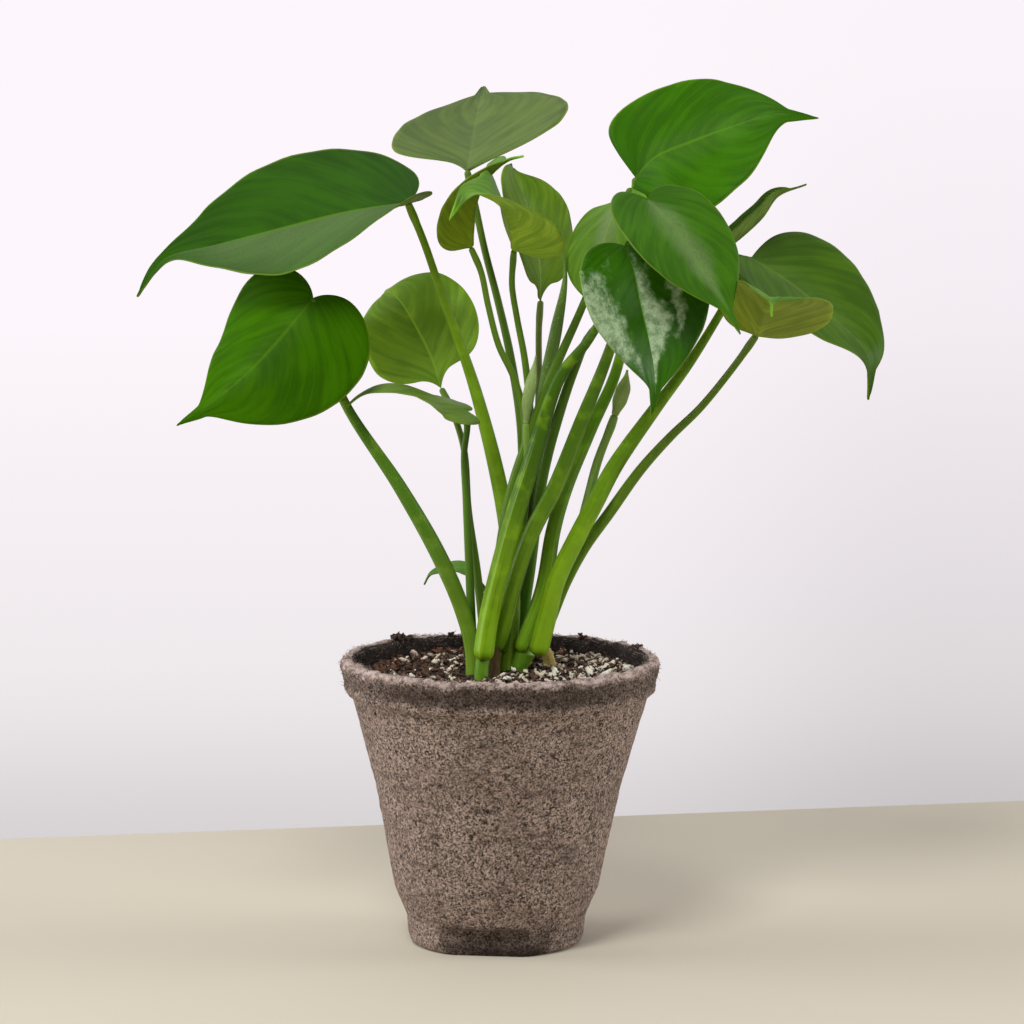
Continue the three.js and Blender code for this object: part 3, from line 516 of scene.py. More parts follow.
# The loose lumps on the mix. clear, lean and inner are what scatter takes, raised is how far above the mix
# they lie, sizes has their least and most half lengths, widths and thicknesses, and graded makes most of them
# small.
LUMPS = {
    "mix_bark": dict(material=bark, count=1700, clear=4.2, lean=0.0, inner=0.0, raised=(-0.3, 1.4),
                     sizes=[(0.5, 2.2), (0.3, 0.9), (0.2, 0.6)], graded=False),
    "mix_husks": dict(material=husk, count=130, clear=5.5, lean=-0.95, inner=0.82, raised=(0.5, 1.5),
                      sizes=[(0.8, 2.0), (0.4, 1.0), (0.25, 0.5)], graded=False),
    "mix_perlite": dict(material=perlite, count=850, clear=4.8, lean=0.95, inner=0.0, raised=(0.3, 1.6),
                        sizes=[(1.0, 2.6), (0.6, 1.3), (0.5, 1.1)], graded=True),
}

mix_random = np.random.default_rng(8)
add_piece("mix_top", [(mix_top(), np.array([0.3, 0.0]), 0)], "potting_mix", [moist_mix])
for name, kind in LUMPS.items():
    count = kind["count"]
    spots = scatter(count, mix_random, kind["clear"], kind["lean"], kind["inner"])
    spots[:, 2] += mix_random.uniform(*kind["raised"], count)
    scale = 0.27 + 0.7 * mix_random.uniform(0, 1, (count, 1)) ** 2.5 if kind["graded"] else 1.0
    sizes = scale * np.column_stack([mix_random.uniform(*span, count) for span in kind["sizes"]])
    points, faces, tones = rough_lumps(spots, sizes, mix_random)
    add_loose(name, points, faces, tones, "potting_mix", kind["material"])

spots = scatter(ROOT_COUNT, mix_random, 4.0)
ways = mix_random.normal(0, 1, (ROOT_COUNT, 3)) * [1, 1, 0.18]
ways /= np.linalg.norm(ways, axis=1, keepdims=True)
points, faces = threads(spots + [0, 0, 0.8], ways, mix_random.normal(0, 0.3, (ROOT_COUNT, 3)) * [1, 1, 0.3],
                        mix_random.uniform(3, 8, ROOT_COUNT), mix_random.uniform(0.08, 0.2, ROOT_COUNT), 5)
add_loose("mix_fibres", points, faces, [0.75, 0.0], "potting_mix", bark)


def straw_chip():
    """A flat chip: a rounded box whose corners are pulled in and out at random, leaning to the left."""
    random = np.random.default_rng(2)
    across = np.array([-2.0, -1.8, 1.8, 2.0, 1.8, -1.8, -2.0])
    deep = np.array([0, -0.6, -0.6, 0, 0.6, 0.6, 0])
    up = np.array([-3.85, -3.8, -1.5, 1.0, 2.6, 3.7, 3.75])
    full = np.array([0, 1, 1.05, 1, 1, 0.95, 0])
    grid = np.stack(np.broadcast_arrays(full[:, None] * across, full[:, None] * deep, up[:, None]), -1).copy()
    grid[1:-1, :-1] += random.normal(0, 0.09, grid[1:-1, :-1].shape)
    grid[:, -1] = grid[:, 0]
    turned = grid.copy()
    turned[..., 0] = grid[..., 0] * math.cos(CHIP_LEAN) - grid[..., 2] * math.sin(CHIP_LEAN)
    turned[..., 2] = grid[..., 0] * math.sin(CHIP_LEAN) + grid[..., 2] * math.cos(CHIP_LEAN)
    return turned + PLANT + CHIP_PLACE


add_piece("mix_chip", [(straw_chip(), np.array([0.5, 0.0]), 0)], "potting_mix", [straw])
crumbs = []
for x, y, size in CRUMB_PLACES:
    middle = np.array([x + POT_LEAN, y, POT_HEIGHT + 0.3 * size - 0.3])
    crumbs.append(middle + mix_random.normal(0, 0.4 * size, (CRUMBS_EACH, 3)) * [1, 1, 0.6])
crumbs = np.concatenate(crumbs)
crumb_sizes = np.repeat([0.42 * size for _, _, size in CRUMB_PLACES], CRUMBS_EACH)[:, None]
crumb_sizes = crumb_sizes * mix_random.uniform(0.5, 1.2, (len(crumbs), 3))
points, faces, tones = rough_lumps(crumbs, crumb_sizes, mix_random)
add_loose("lip_crumbs", points, faces, 0.5 * tones, "pot", bark)

# The crowns: short thick stems that come out of the mix and carry the stalks. One has dried to a brown
# knobbly stump, the others are green.
CROWNS = {  # radii at the foot, halfway and at the top, route, colour, and how knobbly and dry it is
    "crown_front": ([2.6, 2.5, 2.2], [(-6.8, -5, 82), (-6.5, -5, 92), (-6, -5, 101)], (100, 146, 24), 0.3),
    "crown_middle": ([2.4, 2.3, 2], [(-2.6, 0, 82), (-2.4, 0, 92), (-1.8, 0.5, 104)], (104, 82, 34), 1.0),
    "crown_right": ([3.4, 3.4, 3.6], [(4.5, 9, 82), (5.5, 9, 92), (9.5, 7, 101)], (100, 146, 28), 0.2),
    "crown_back": ([5.2, 5.2, 4.6], [(3, 21, 82), (3.2, 21, 92), (3.5, 20, 103)], (86, 126, 30), 0.6),
}


def smooth_curve(route, spans=40):
    """Centripetal Catmull-Rom curve through a route, and the length along it up to each of its points. In
    each span it is the cubic whose end slopes come from the points on both sides, weighted by the roots of
    their distances."""
    p = np.array(route, float)
    p = np.vstack([2 * p[0] - p[1], p, 2 * p[-1] - p[-2]])
    gap = np.sqrt(np.linalg.norm(np.diff(p, axis=0), axis=1))[:, None]
    g0, g1, g2 = gap[:-2], gap[1:-1], gap[2:]
    a, b, c, d = p[:-3], p[1:-2], p[2:-1], p[3:]
    leave = ((b - a) / g0 - (c - a) / (g0 + g1) + (c - b) / g1) * g1
    arrive = ((c - b) / g1 - (d - b) / (g1 + g2) + (d - c) / g2) * g1
    t = np.linspace(0, 1, spans, endpoint=False)[None, :, None]
    b, c, leave, arrive = (v[:, None] for v in (b, c, leave, arrive))
    line = b + leave * t + (3 * (c - b) - 2 * leave - arrive) * t ** 2
    line = line + (2 * (b - c) + leave + arrive) * t ** 3
    line = np.concatenate([line.reshape(-1, 3), p[-2:-1]])
    reach = np.concatenate([[0], np.cumsum(np.linalg.norm(np.diff(line, axis=0), axis=1))])
    return line, reach


def on_curve(line, reach, at):
    """The point and the unit tangent of a curve at each distance along it."""
    slope = np.gradient(line, axis=0)
    slope /= np.linalg.norm(slope, axis=1, keepdims=True)
    point = np.stack([np.interp(at, reach, line[:, k]) for k in range(3)], -1)
    tangent = np.stack([np.interp(at, reach, slope[:, k]) for k in range(3)], -1)
    return point, tangent / np.linalg.norm(tangent, axis=-1, keepdims=True)


def stem_surface(route, rows, columns, radius_at, facing=(0, -1, 0)):
    """A tube along a smooth curve. radius_at(t, turn) gives the radius at the share t along it and the angle
    turn round it, where turn 0 is the side that faces the way facing. Its rows lie closer at both ends, where
    it is closed."""
    line, reach = smooth_curve(route)
    even = np.linspace(0, 1, rows)
    t = even - 0.9 * np.sin(2 * np.pi * even) / (2 * np.pi)
    centre, tangent = on_curve(line, reach, t * reach[-1])
    front = np.array(facing, float) - tangent * (tangent @ np.array(facing, float))[:, None]
    front /= np.linalg.norm(front, axis=1, keepdims=True)
    side = np.cross(tangent, front)
    turn = np.linspace(0, 2 * np.pi, columns + 1)
    radius = radius_at(t[:, None], turn[None]) * np.ones((rows, columns + 1))
    ring = front[:, None] * np.cos(turn)[None, :, None] + side[:, None] * np.sin(turn)[None, :, None]
    grid = centre[:, None] + ring * radius[..., None]
    grid[:, -1] = grid[:, 0]
    ends = [np.repeat(centre[k][None, None], columns + 1, 1) for k in (0, -1)]
    grid = np.concatenate([ends[0], grid, ends[1]])
    uv = np.stack(np.broadcast_arrays(turn[None] / (2 * np.pi), np.concatenate([[0], t, [1]])[:, None]), -1)
    return grid + PLANT, uv


def stem_skin():
    """Group for the skin of every stem. Streaks along it are noise on a cylinder, which has no seam: its
    place is the cosine and sine of the angle round the stem, and the share along it. Blotches, pale speckles
    and the two thin margins of a sheath lie over them."""
    group, given, result = new_group("stem_skin", ("Foot", "Top", "Streak", "Blotch"),
                                     ("Runs", "Margin", "Speckle"))
    place = shader(group, "TexCoord", output="Object")
    around, along, _ = split(shader(group, "UVMap", uv_map="place"))
    angle = around * (2 * math.pi)
    ring = shader(group, "CombineXYZ", {0: sums("COSINE", angle), 1: sums("SINE", angle),
                                        2: along * given["Runs"]})
    lines = shader(group, "TexNoise", {"Vector": ring, "Scale": 3.2, "Detail": 2.5})
    blotch, fine = grain(place, 6, 2.5, 0.5), grain(place, 0.9, 3, 0.7)
    base = tint(spread(along, 0.04, 0.5), given["Foot"], given["Top"])
    base = tint(spread(lines, 0.46, 0.7, 0.0, 0.36), base, given["Streak"])
    base = tint(spread(blotch, 0.46, 0.7, 0.0, 0.4), base, given["Blotch"])
    base = tint(spread(fine, 0.55, 0.75) * given["Speckle"], base, colour(206, 218, 160))
    beside = abs(abs(around - 0.5) - 0.4)
    margin = spread(beside, 0.014, 0.005) * spread(along, 0.55, 0.4)
    base = tint(margin * given["Margin"], base, colour(176, 204, 110))
    base.into(result["Colour"])
    (lines + blotch).into(result["Height"])
    return group


stem_group = stem_skin()


def crown_radius(radii, knobs):
    """Straight from radius to radius, with small knobs round it and a rounded top."""
    def radius_at(t, turn):
        plain = np.interp(t, [0, 0.5, 1], radii)
        lumps = 0.09 * knobs * np.sin(5 * turn + 11 * t) * np.sin(23 * t - 2 * turn)
        lumps = lumps + 0.02 * np.cos(3 * turn + 9 * t)
        return plain * (1 + lumps) * np.sqrt(np.clip((1.01 - t) / 0.07, 0.04, 1))
    return radius_at


for name, (radii, route, skin, knobs) in CROWNS.items():
    grid, uv = stem_surface(route, rows=40, columns=36, radius_at=crown_radius(radii, knobs))
    dry = knobs == 1
    values = {"Foot": skin, "Top": skin, "Streak": tuple(0.7 * v for v in skin),
              "Blotch": (58, 38, 20) if dry else tuple(1.12 * v for v in skin), "Runs": 1.0, "Margin": 0.0,
              "Speckle": 0.0}
    material = group_material(name + "_skin", stem_group, values, 0.75 if dry else 0.4, 0.05 + 0.5 * knobs)
    add_piece(name + "_stem", [(grid, uv, 0)], name, [material])

# The stalks: each carries one leaf. The lower part is a sheath that clasped the next leaf and leaves a groove
# with thin pale margins. The upper part is round, and it thickens into a short joint just under the blade.
STALK_ROW_HEIGHT = 1.6
STALK_ROWS_LEAST = 24
STALK_COLUMNS = 24
FOOT_MOVED = {  # how far the bun at the foot is carried down, and out in front of the crown that it sits on
    "stalk_10": (-0.3, -1.7, -2.2),
    "stalk_14": (-0.6, -0.8, -2.6),
    "stalk_11": (-0.6, -0.4, -2.9),
    "stalk_12": (-1.0, -0.4, -2.8),
}
# Each stalk has its radii at the foot, a third of the way up and at the top, its colours at the foot and at
# the top, the depth of the groove as a share of the radius, the way the groove faces, and its route.
STALKS = {
    "stalk_10": ([3.5, 3.3, 1.3], (128, 170, 20), (62, 100, 4), 0.12, (-1, -0.5, 0),
                 [(-5.6, -5, 100.5), (-4.1, -5, 111.5), (0, -6, 130), (5.5, -7, 150.5), (11.5, -8, 169.5),
                  (20.5, -12, 197), (30, -17, 210), (36.5, -24, 223), (41.5, -30, 242.5)]),
    "stalk_14": ([3.5, 3.1, 1.4], (132, 172, 28), (96, 136, 18), 0.1, (0.3, 1, 0),
                 [(13.4, 1, 101.5), (15.8, 1, 111), (19.2, 0, 124.8), (25.6, 0, 138.7), (32.6, 0, 152.2),
                  (39.4, 0, 165), (53, 0, 184.6), (65, 1, 200.8), (76, 3, 218.4), (86, 6, 236)]),
    "stalk_02": ([2.6, 2.8, 1.4], (122, 156, 46), (78, 122, 22), 0.1, (0.2, 1, 0),
                 [(-9.4, 2.5, 82), (-9.6, 2, 101), (-13.1, 0, 115.3), (-21.2, -4, 135), (-34.1, -8, 158.7),
                  (-52.7, -10, 187.8), (-60, -9, 207.6), (-63, -16, 224)]),
    "stalk_11": ([3.1, 2.9, 1.2], (110, 148, 22), (74, 112, 14), 0.1, (1, -0.2, 0),
                 [(-1.4, 2, 103.5), (1, 1, 108), (5.5, 0, 126.2), (11.3, -2, 142.8), (19, -4, 158.2),
                  (28, -8, 181.8), (36.5, -12, 204), (44.8, -18, 232.5), (47.8, -22, 248), (49.5, -34, 258)]),
    "stalk_12": ([3.1, 2.5, 1.3], (116, 160, 24), (80, 122, 14), 0.12, (1, -0.5, 0),
                 [(8, 5.5, 102), (14.8, 8, 120.8), (18.3, 8, 141.4), (22.7, 8, 156.7), (31, 8, 176.5),
                  (40, 9, 197), (46, 12, 231), (46.5, 14, 263)]),
    "stalk_01": ([3, 2.9, 1.3], (138, 178, 42), (114, 152, 22), 0.1, (0.3, 1, 0),
                 [(2.6, 9, 82), (2.7, 9.5, 94), (4.1, 13, 116.3), (1.7, 16, 145.7), (-8, 13, 188),
                  (-20.3, 10, 224), (-26, 9, 241), (-31.5, 5, 255)]),
    "stalk_15": ([2.3, 2, 1.2], (96, 136, 22), (92, 124, 26), 0.1, (0.5, 1, 0),
                 [(12, 9, 100), (16.5, 11, 108.3), (22.4, 9.5, 123), (29, 7, 135.7), (37.8, 4, 148.5),
                  (48, -1, 163.6), (58, -7, 175.8), (68, -13, 186.5), (79, -20, 201.3), (86.2, -26, 212.5)]),
    "stalk_09": ([2.3, 2.2, 1.2], (84, 124, 28), (84, 118, 26), 0.1, (0.3, 1, 0),
                 [(-2.6, 7, 82), (-2.6, 7, 110), (0, 6, 132), (4.4, 4, 156.4), (11, 1, 177.3), (17.8, 2, 196),
                  (27.4, 5, 217.5), (34.5, 8, 234.4), (41, 10.5, 252), (45, 11, 259.5)]),
    "stalk_13": ([2.4, 2, 1.2], (72, 112, 24), (86, 120, 34), 0.1, (0.3, 1, 0),
                 [(5.7, 17.8, 99), (9.7, 16.4, 124), (14.8, 12.6, 160.6), (20.6, 11.6, 182.4),
                  (25.8, 12.4, 197.5), (31, 14, 208.7), (48.3, 18, 224), (62, 21, 231), (75, 22, 236)]),
    "stalk_04": ([1.6, 1.5, 1.1], (66, 104, 22), (84, 118, 34), 0.08, (-0.6, -1, 0),
                 [(-9.6, 8.5, 82), (-9.6, 8.5, 101), (-10.2, 6, 118), (-11.7, 5.5, 152.6), (-12.4, 6, 168),
                  (-11.3, 5, 178.7), (-12.5, 2, 184.5)]),
    "stalk_03": ([1.6, 1.5, 1.1], (92, 128, 40), (98, 130, 42), 0.08, (0.6, -1, 0),
                 [(-5.8, 12, 82), (-5.8, 12, 103), (-8, 12, 126), (-11.1, 14, 148), (-12.5, 17, 168.6),
                  (-16.7, 20, 182), (-20.5, 22, 189.5)]),
    "stalk_07": ([1.7, 1.6, 1.05], (98, 138, 30), (92, 128, 30), 0.08, (-0.6, -1, 0),
                 [(1, 6, 99), (3.2, 6.5, 116), (7, 7, 138.4), (10.3, 7, 180), (8.6, 5, 200.3),
                  (5.8, 3, 215.6), (4.1, 0, 227), (4.5, -3, 235.8), (4.8, -6, 239.5)]),
    "stalk_08": ([1.8, 1.6, 1.1], (74, 112, 26), (104, 116, 52), 0.08, (0.6, -1, 0),
                 [(7, 21, 99), (9.7, 19, 130.4), (12.8, 16.4, 168.6), (13.4, 18, 192.7), (13.4, 20, 210),
                  (14, 22, 220)]),
    "stalk_05": ([1.9, 1.7, 1.2], (84, 120, 30), (88, 120, 32), 0.1, (-0.7, -1, 0),
                 [(-0.5, 20, 99), (6, 20, 130.5), (7.6, 18, 172), (3.8, 20, 199.5), (-0.4, 23, 218.3),
                  (-5.3, 26, 237), (-8.7, 28, 252.6), (-11.5, 30, 264.5)]),
    "stalk_06": ([1.6, 1.5, 1.05], (92, 130, 32), (100, 134, 34), 0.08, (0.6, -1, 0),
                 [(1.2, 16.5, 99), (6, 14, 137.9), (8.9, 12.5, 176), (4.8, 12, 194), (-0.4, 11, 205.2),
                  (-4.1, 10, 219.4), (-6.5, 8, 231), (-10, 6, 239.5)]),
    "stalk_19": ([1.8, 1.6, 1.4], (112, 150, 60), (126, 158, 74), 0.1, (0.6, -1, 0),
                 [(28.6, 4.2, 146), (30, 4.3, 152), (33.6, 4, 166.3), (38, 3.6, 178), (39.5, 3, 182.5)]),
    "stalk_18": ([1.5, 1.4, 1.3], (112, 150, 52), (122, 156, 66), 0.1, (0.6, -1, 0),
                 [(6.4, 3.4, 148), (8.8, 1.5, 164), (9.2, 0.5, 172), (9, 0.5, 180)]),
    "stalk_16": ([0.9, 0.8, 0.7], (96, 132, 48), (96, 132, 48), 0.0, (0, -1, 0),
                 [(0.5, 18.5, 100), (-1.5, 17, 110), (-4.6, 16, 118.6), (-6.7, 17, 121.5), (-9.3, 19, 125)]),
}


def stalk_radius(radii, groove, length):
    """A round section that tapers from radius to radius, with both ends rounded off like a bun. The groove is
    a dip with a low ridge on each side and runs out two thirds of the way up. The joint under the blade is a
    tenth thicker."""
    def radius_at(t, turn):
        foot, third, top = radii
        plain = np.where(t < 0.3, foot + (third - foot) * t / 0.3,
                         third + (top - third) * smoothstep((t - 0.3) / 0.6))
        side = (turn + np.pi) % (2 * np.pi) - np.pi
        share = groove * (1 - smoothstep((t - 0.3) / 0.35))
        dip = -share * np.exp(-(side / 0.3) ** 2) + 0.3 * share * np.exp(-((np.abs(side) - 0.62) / 0.22) ** 2)
        from_top = (1 - t) * length
        joint = 0.12 * smoothstep(1 - np.abs(from_top - 5) / 4.5)
        from_foot = np.clip(t * length / foot, 0, 1)
        ball = np.sqrt(np.clip(1 - (1 - from_foot) ** 2, 0.01, 1))
        cap = np.sqrt(np.clip(1 - (1 - np.clip(from_top / top, 0, 1)) ** 2, 0.01, 1))
        return plain * ball * cap * (1 + dip + joint + 0.008 * np.cos(3 * turn + 14 * t))
    return radius_at


for name, (radii, low, high, groove, facing, route) in STALKS.items():
    route = [np.add(route[0], FOOT_MOVED.get(name, 0))] + route[1:]
    length = smooth_curve(route)[1][-1]
    rows = max(STALK_ROWS_LEAST, int(length / STALK_ROW_HEIGHT))
    grid, uv = stem_surface(route, rows, STALK_COLUMNS, stalk_radius(radii, groove, length), facing)
    values = {"Foot": low, "Top": high, "Streak": tuple(0.36 * (a + b) for a, b in zip(low, high)),
              "Blotch": tuple(1.06 * v + 4 for v in low), "Runs": 1.2,
              "Margin": 0.35 if groove > 0.09 else 0.0, "Speckle": 0.0}
    material = group_material(name + "_skin", stem_group, values, 0.36, 0.03, Specular_IOR_Level=0.18)
    add_piece(name + "_skin", [(grid, uv, 0)], name, [material])

# The blades: thin leathery sheets in the shape of a heart with a drip tip. Each follows its midrib, from the
# stalk to the tip, and is folded up or down along it. The midrib stands out underneath and is a shallow
# channel on top.
BLADE_THICKNESS = 0.6
RIB_DEPTH = 0.75
BLADE_ROWS = 6  # rows for each of the fifteen steps of the outline
BLADE_COLUMNS = 15  # columns for each half
FOLD_REACH = 6  # columns on each side of the midrib over which the fold is rounded
FOLD_ROUNDS = 6
DRIP_START = 0.85
OUTLINE_STEPS = [0, 3, 7, 12, 15]  # where each of the outline's four arcs starts, and the end of the last
# half, lobe and widest are the width of the left and right half, how far its lobe reaches back and how far
# along it is widest. shoulder is how full both are before the drip tip. face is the way the top looks at the
# base and the tip. left and right are each half's fold in degrees at the base, middle and tip, and turn is
# how much more its margin has. top and under are the two sides' colours, with painted light in some: leaf 3's
# top is paler against the shade on it, and leaf 7's underside brighter for light through it from behind. rib
# and painted_sheen are how strongly the midrib and a painted grey sheen beside it show, and sided is 1 where
# only the left half has the painted sheen. rough and gleam make the gloss, painted_reflection is how strongly
# painted broken reflections show and lime is how yellow-green the drip tip is.
# A blade takes from MOST_BLADES what it doesn't say.
MOST_BLADES = dict(widest=[0.24, 0.24], turn=[0, 0], rib=0.4, rough=0.45, gleam=0.2, painted_sheen=0.0, sided=0.0,
                   painted_reflection=0.0, lime=0.0)
BLADES = {
    "leaf_01_far_left": dict(
        half=[41, 41], lobe=[10, 4], widest=[0.27, 0.27], shoulder=0.14,
        face=[(-0.25, -0.3, 0.93), (-0.3, -0.42, 0.85)], left=[20, 1, 12], right=[4, 14, 8],
        midrib=[(-31.5, 5, 255), (-51, 6, 251.5), (-75, 7, 245.5), (-97.5, 6, 240), (-114.5, 4, 235.5),
                (-124, 2, 223)],
        top=(41, 84, 4), under=(112, 128, 58), rib=0.75, gleam=0.05, painted_sheen=0.42, sided=1.0),
    "leaf_02_low_left": dict(
        half=[30, 31], lobe=[7, 5], shoulder=0.2, turn=[-6, -10],
        face=[(-0.32, -0.88, 0.34), (-0.32, -0.88, 0.34)], left=[-20, -20, -14], right=[-2, -29, -26],
        midrib=[(-63, -16, 224), (-68.5, -20, 217.5), (-76.5, -26, 208.5), (-87, -31, 198), (-98.5, -34, 189),
                (-108, -36, 183)],
        top=(53, 100, 0), under=(104, 124, 46), rib=0.3, rough=0.5, gleam=0.02, painted_sheen=0.05),
    # Leaf 3's top colour is paler, as painted light against the shade that falls on it.
    "leaf_03_back_left": dict(
        half=[20.5, 21.5], lobe=[-4, -7], widest=[0.32, 0.42], shoulder=0.5, turn=[-8, -8],
        face=[(0, -0.9, 0.4), (-0.1, -0.8, 0.6)], left=[14, 8, 0], right=[14, 8, 0],
        midrib=[(-20.5, 22, 189.5), (-24, 25, 200), (-29.5, 29, 210.5), (-35, 36, 218.5), (-40, 45, 221),
                (-41.5, 52, 217)],
        top=(130, 172, 42), under=(104, 122, 46), rib=0.8, rough=0.48, gleam=0.14, painted_sheen=0.1),
    "leaf_04_arched": dict(
        half=[15.5, 14.5], lobe=[6, 4], shoulder=0.17, turn=[-6, -8],
        face=[(0, -0.15, 1), (-0.3, -0.15, 0.9)], left=[-8, -10, -12], right=[0, -12, -20],
        midrib=[(-12.5, 2, 184.5), (-22, 0, 189), (-32.5, -5, 193.5), (-40.5, -10, 194), (-47.5, -14, 191),
                (-52.5, -17, 187)],
        top=(100, 132, 44), under=(90, 112, 40), gleam=0.18, painted_sheen=0.1),
    "leaf_05_top": dict(
        half=[28.5, 36], lobe=[-6, -1], widest=[0.3, 0.3], shoulder=0.25, turn=[-6, -6],
        face=[(-0.2, -0.3, 0.93), (-0.2, -0.3, 0.93)], left=[18, 12, 4], right=[18, 12, 4],
        midrib=[(-11.5, 30, 264.5), (-10, 45, 271), (-9, 62, 278), (-7.5, 80, 285.5), (-6, 98, 291)],
        top=(84, 108, 40), under=(108, 124, 52), rib=0.15, painted_sheen=0.15),
    "leaf_06_cupped": dict(
        half=[14, 14.5], lobe=[0, 0], shoulder=0.5,
        face=[(-0.7, 0.6, 0.3), (-0.6, 0.2, 0.75)], left=[40, 34, 20], right=[14, 14, 14],
        midrib=[(-10, 6, 239.5), (-9.5, 3, 248.5), (-8, -1, 256), (-5.5, -6, 262), (-1.5, -11, 267),
                (3, -15, 270.5), (8, -17, 272)],
        top=(86, 130, 40), under=(118, 142, 20), rib=0.6, rough=0.5, lime=0.85),
    # Leaf 7's underside colour is brighter, as painted light shining through the leaf from behind.
    "leaf_07_nodding": dict(
        half=[20, 17], lobe=[1, 1], shoulder=0.1,
        face=[(0.6, 0.6, 0.5), (0.5, -0.1, 0.85)], left=[15, 12, 10], right=[38, 34, 20],
        midrib=[(4.8, -6, 239.5), (4, -12, 246.5), (1.8, -20, 253.5), (-3.2, -28, 258.5), (-11, -33, 260.5),
                (-16.8, -36, 251.5)],
        top=(96, 140, 46), under=(148, 184, 52), rib=0.6, rough=0.5, lime=0.85),
    "leaf_08_upright": dict(
        half=[18, 16.5], lobe=[-6, -6], widest=[0.5, 0.5], shoulder=0.6,
        face=[(0.74, -0.67, 0.2), (0.74, -0.67, 0.2)], left=[20, 20, 14], right=[20, 16, 8],
        midrib=[(14, 22, 220), (13.5, 23, 231.5), (11, 25, 245), (7.5, 28, 257), (4.5, 33, 264.5),
                (3, 41, 266)],
        top=(92, 126, 22), under=(98, 116, 40), gleam=0.14, painted_sheen=0.25),
    "leaf_09_behind": dict(
        half=[20, 12.5], lobe=[0, -10], widest=[0.5, 0.5], shoulder=0.3,
        face=[(-0.5, -0.75, 0.3), (-0.5, -0.75, 0.3)], left=[10, 8, 6], right=[10, 8, 6],
        midrib=[(45, 11, 259.5), (39.5, 9, 252), (35.5, 6, 242), (33, 3, 230), (33, 0, 212)],
        top=(96, 138, 36), under=(98, 116, 40), rough=0.42, painted_sheen=0.8),
    "leaf_10_glossy": dict(
        half=[25, 24], lobe=[4, 2], shoulder=0.2,
        face=[(0.37, -0.93, 0.3), (0.4, -0.9, 0.25)], left=[18, 16, 14], right=[18, 16, 14],
        midrib=[(41.5, -30, 242.5), (44.5, -33, 235), (46.5, -37, 225), (49.5, -40, 212), (51.5, -42, 199),
                (50.5, -41, 187)],
        top=(48, 98, 4), under=(98, 122, 46), rough=0.34, gleam=0.16, painted_reflection=0.9),
    "leaf_11_front": dict(
        half=[19, 23], lobe=[3, 7], shoulder=0.2,
        face=[(0.4, -0.65, 0.65), (0.4, -0.7, 0.55)], left=[6, 5, 4], right=[6, 5, 4],
        midrib=[(49.5, -34, 258), (56.5, -39, 251.5), (63, -45, 242.5), (70, -52, 231.3), (75, -57, 223.5),
                (79, -61, 216)],
        top=(56, 102, 12), under=(98, 122, 46), rib=0.3, rough=0.42, gleam=0.12, painted_sheen=0.6),
    "leaf_12_top_right": dict(
        half=[23.5, 31.5], lobe=[0, 6], shoulder=0.2,
        face=[(-0.2, -0.8, 0.55), (-0.1, -0.85, 0.5)], left=[8, 6, 4], right=[8, 6, 4],
        midrib=[(46.5, 14, 263), (53, 11, 270), (65, 7, 275.5), (78, 3, 280.5), (93, 0, 285), (108, -2, 284)],
        top=(54, 106, 4), under=(98, 122, 40), gleam=0.04, painted_sheen=0.1),
    "leaf_13_furled": dict(
        half=[5.8, 5.8], lobe=[1, 1], widest=[0.35, 0.35], shoulder=0.4,
        face=[(-0.5, -0.3, 0.7), (-0.5, -0.3, 0.7)], left=[60, 66, 50], right=[60, 66, 50],
        midrib=[(75, 22, 236), (84, 23, 242.5), (90.5, 24, 248.5), (96, 25, 256), (106, 26, 260)],
        top=(88, 132, 36), under=(102, 130, 50), rib=0.6),
    "leaf_14_far_right": dict(
        half=[32, 26], lobe=[1, 5], shoulder=0.25,
        face=[(0.5, -0.35, 0.8), (0.6, -0.4, 0.6)], left=[14, 14, 12], right=[2, 2, 4],
        midrib=[(86, 6, 236), (97.5, 2, 228.5), (109, -2, 219.5), (119, -5, 211), (125, -7, 204),
                (125.5, -7, 188.5)],
        top=(62, 97, 9), under=(104, 124, 44), rib=0.35, gleam=0.1, painted_sheen=0.12),
    "leaf_15_curled": dict(
        half=[24, 17], lobe=[3, 1], widest=[0.3, 0.3], shoulder=0.85,
        face=[(0, 0.45, 0.9), (0, 0.3, 0.95)], left=[4, 4, 0], right=[26, 46, 20],
        midrib=[(86.2, -26, 212.5), (87.2, -36, 219), (88.7, -45, 224), (89.2, -51, 227), (89.7, -54, 221)],
        top=(84, 124, 40), under=(122, 142, 36), rib=0.5, rough=0.5, painted_sheen=0.2, lime=0.85),
    "leaf_16_small": dict(
        half=[3.2, 3.2], lobe=[1, 1], widest=[0.3, 0.3], shoulder=0.3,
        face=[(0, -0.55, 0.85), (-0.3, -0.3, 0.9)], left=[0, 0, 0], right=[0, 0, 0],
        midrib=[(-9.3, 19, 125), (-14, 20, 127.2), (-19.6, 20.5, 126.5), (-24.5, 20, 124.5),
                (-26.6, 19, 121)],
        top=(86, 128, 44), under=(96, 124, 44)),
}


